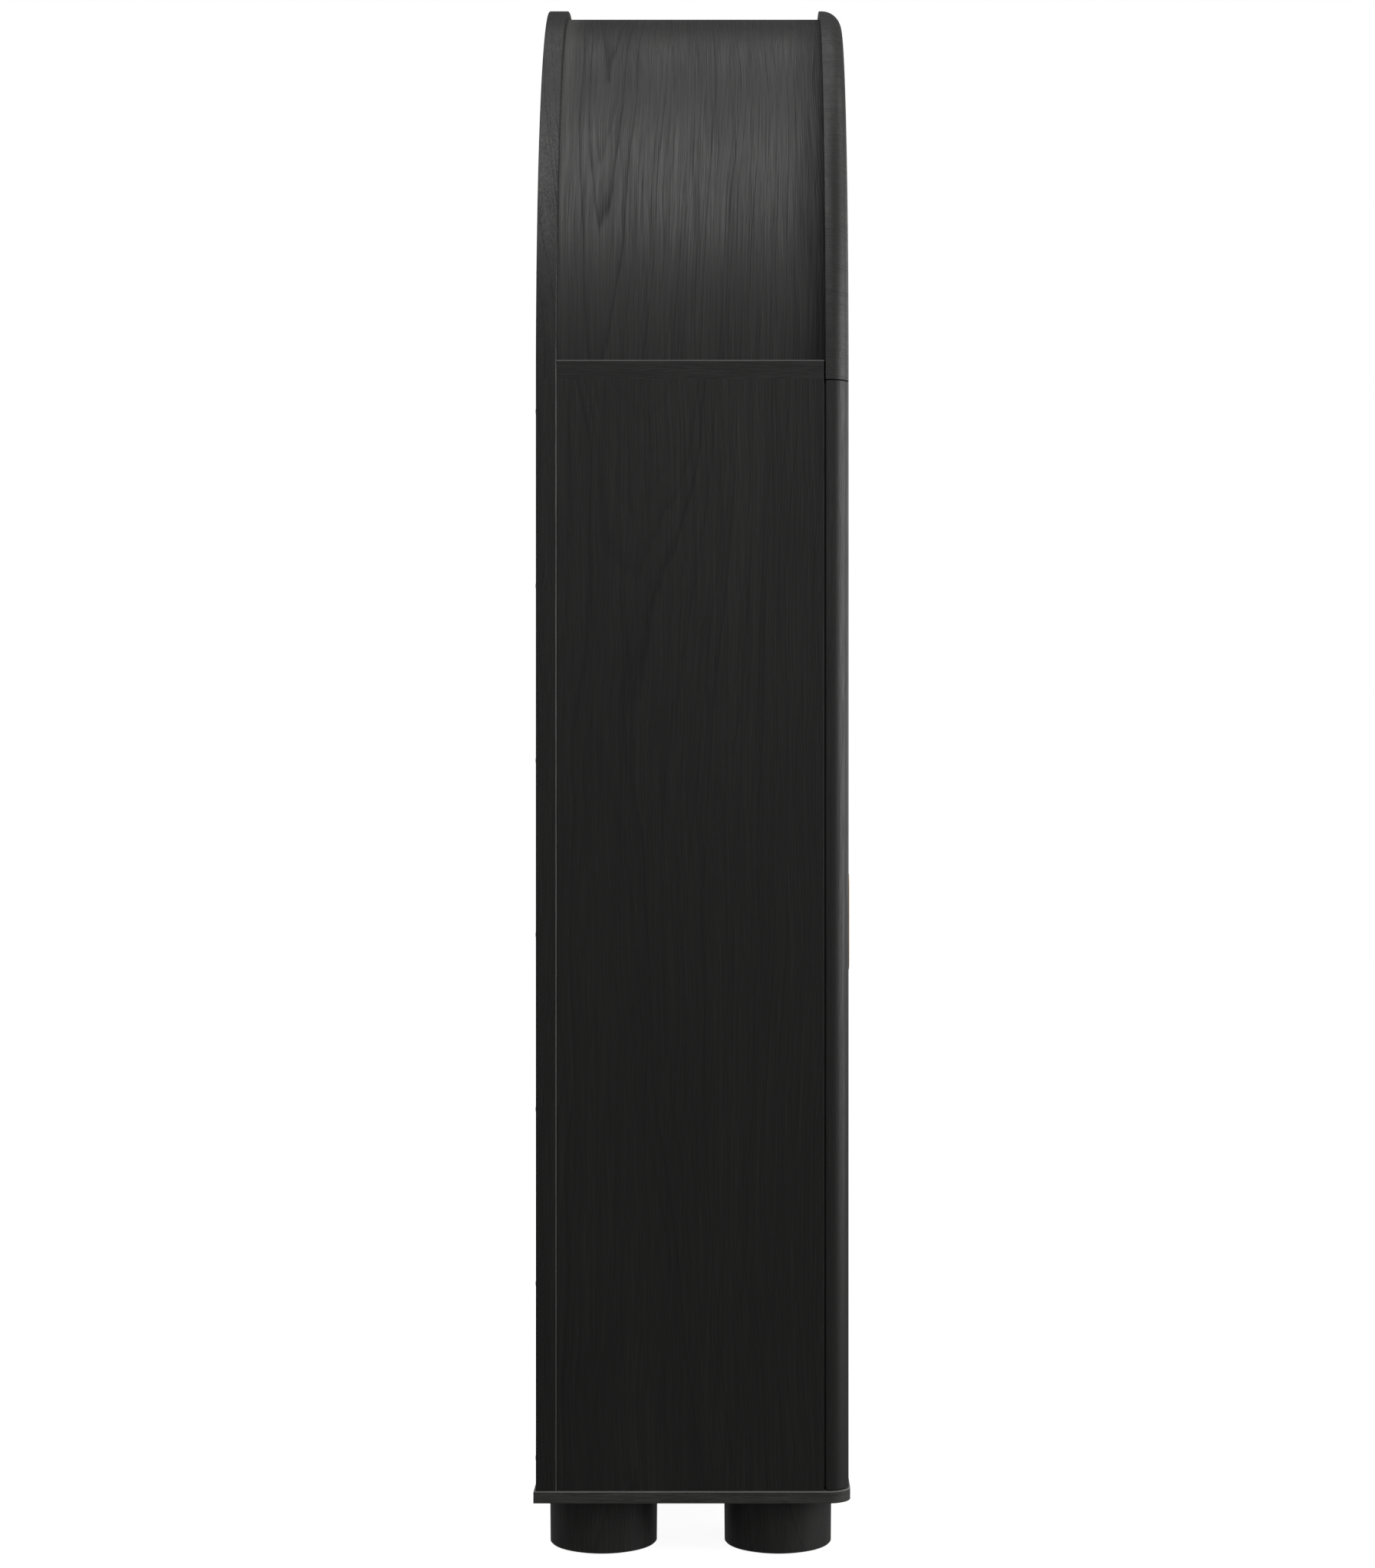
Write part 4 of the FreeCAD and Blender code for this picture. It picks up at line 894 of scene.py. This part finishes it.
def make_hinge_screws():
    """Three screws in each hinge leaf, seen when the door is open."""
    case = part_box("door_hinge_case_leaves")
    hinge_length = case[1].z - case[0].z - 2 * DOOR_HINGE_PITCH
    edge_inset = 8.5 * MM
    x = case[0].x + edge_inset
    middles = [case[0].z + hinge_length / 2 + index * DOOR_HINGE_PITCH for index in range(3)]
    spread = 0.36 * hinge_length
    heights = [z + step * spread for z in middles for step in (-1, 0, 1)]
    meeting_y = (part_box("door_stile_right")[1].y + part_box("trunk_side_right")[0].y) / 2
    for name, body, facing in (("case_hinge_screws", "root", -1), ("door_hinge_screws", "trunk_door", 1)):
        y = meeting_y - facing * 0.05 * MM      # each leaf's own face
        screws(name, [(x, y, z) for z in heights], radius=2.8 * MM, proud=0.04 * MM,
               body=body, slot="steel", facing=facing)


# ---------------------------------------------------------------- pendulum and weight

def make_bob_trim():
    """Turned boss and beads on both faces of the bob, and a bead round its rim."""
    low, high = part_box("pendulum_bob")
    centre = (low + high) / 2
    half, radius = (high.y - low.y) / 2, (high.x - low.x) / 2
    boss = [(0.0, -1.0), (6.0, -1.0), (7.0, -0.5), (11.0, -0.5), (12.0, -0.2), (12.5, 1.2), (0.0, 1.2)]
    for name, side in (("front", -1), ("back", 1)):
        edit = bmesh.new()
        profile = [(r * MM, side * (half - y * MM)) for r, y in boss]
        turn(edit, profile, centre, steps=64)
        new_piece(f"bob_boss_{name}", edit, materials["brass_bob"], "pendulum")
    edit = bmesh.new()
    thick, half_width, steps = 1.2 * MM, 2.6 * MM, 12
    bead = [(radius - thick + thick * math.cos(a), half_width * math.sin(a))
            for a in (2 * math.pi * k / steps for k in range(steps))]
    turn(edit, bead, centre, steps=160)
    new_piece("bob_rim", edit, materials["brass_bob"], "pendulum")


def make_rating_nut():
    """Knurled rating nut with bevelled ends, in place of the plain one."""
    low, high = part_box("rating_nut")
    centre = (low + high) / 2
    radius, ridges = (high.x - low.x) / 2, 40
    bore = ROD_RADIUS + 0.05 * MM
    bevel, bevel_height, knurl_depth = 1.6 * MM, 1.4 * MM, 0.55 * MM
    levels = [(low.z, bevel, False), (low.z + bevel_height, 0.0, True),
              (high.z - bevel_height, 0.0, True), (high.z, bevel, False)]
    rings = []
    edit = bmesh.new()
    for z, inset, knurled in levels:
        ring = []
        for step in range(2 * ridges):
            angle = math.pi * step / ridges
            r = radius - inset - (knurl_depth if knurled and step % 2 else 0.0)
            ring.append(edit.verts.new((centre.x + r * math.cos(angle), centre.y + r * math.sin(angle), z)))
        rings.append(ring)
    for z in (high.z, low.z):
        rings.append([edit.verts.new((centre.x + bore * math.cos(math.pi * step / ridges),
                                      centre.y + bore * math.sin(math.pi * step / ridges), z))
                      for step in range(2 * ridges)])
    rings.append(rings[0])
    for one, two in zip(rings, rings[1:]):
        for k in range(2 * ridges):
            j = (k + 1) % (2 * ridges)
            edit.faces.new((one[k], one[j], two[j], two[k]))
    piece = new_piece("rating_nut_knurled", edit, materials["brass_wheel"], "rating", smooth=False)
    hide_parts("rating_nut")


def make_rod_pin():
    """Pin that hangs the pendulum rod on its suspension spring."""
    spring_low, spring_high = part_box("suspension_spring")
    rod_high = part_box("pendulum_rod")[1]
    pin_below_top = 6 * MM
    z = rod_high.z - pin_below_top
    half, y = 9.0, (spring_low.y + spring_high.y) / 2
    profile = [(0.0, -half), (1.0, -half), (1.5, -half + 0.6), (1.5, half - 0.6), (1.0, half), (0.0, half)]
    edit = bmesh.new()
    turn(edit, [(r * MM, along * MM) for r, along in profile], (0, y, z), steps=24)
    new_piece("rod_pin", edit, materials["steel"], "pendulum")


def make_weight_trim():
    """Turned beads above and below the weight's polished shell."""
    low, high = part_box("weight_shell")
    centre = (low + high) / 2
    cap_proud, end_inset = 1.5 * MM, 13 * MM
    thick, half_width, steps = 1.0 * MM, 1.6 * MM, 10
    shell = high.x - cap_proud
    for name, z in (("lower", low.z + end_inset), ("upper", high.z - end_inset)):
        edit = bmesh.new()
        bead = [(shell + thick * math.cos(a), half_width * math.sin(a))
                for a in (2 * math.pi * k / steps for k in range(steps))]
        turn(edit, bead, (centre.x, centre.y, z), "Z", 96)
        new_piece(f"weight_bead_{name}", edit, materials["brass_weight"], "weight")


def soften_edges():
    """Small bevels on the frame's cut-out sheet metal, so that its edges catch the light."""
    for node, width in (("hour_hand", 0.45), ("minute_hand", 0.45), ("suspension_cock", 0.5),
                        ("movement_front_plate", 0.4), ("movement_back_plate", 0.4),
                        ("weight_stirrup", 0.4), ("hour_markers", 0.3)):
        bevel = nodes[node].modifiers.new("edge", "BEVEL")
        bevel.width, bevel.segments = width * MM, 2
        bevel.limit_method, bevel.angle_limit = "ANGLE", math.radians(50)


# ---------------------------------------------------------------- the scene

materials = make_materials()
make_camera()
make_world()
make_lights()
make_floor()
paint_frame(materials)
soften_edges()
make_case_screws()
make_dust_seal()
make_minute_track()
make_dial_surround()
make_bezel_hinge_screws()
make_plate_screws()
make_drum_cable()
make_cable_anchor()
make_hanging_cable()
make_pull_trim()
make_glass_seal()
make_catch_screws()
make_hinge_screws()
make_bob_trim()
make_rating_nut()
make_rod_pin()
make_weight_trim()

bpy.context.scene.view_settings.view_transform = "Standard"
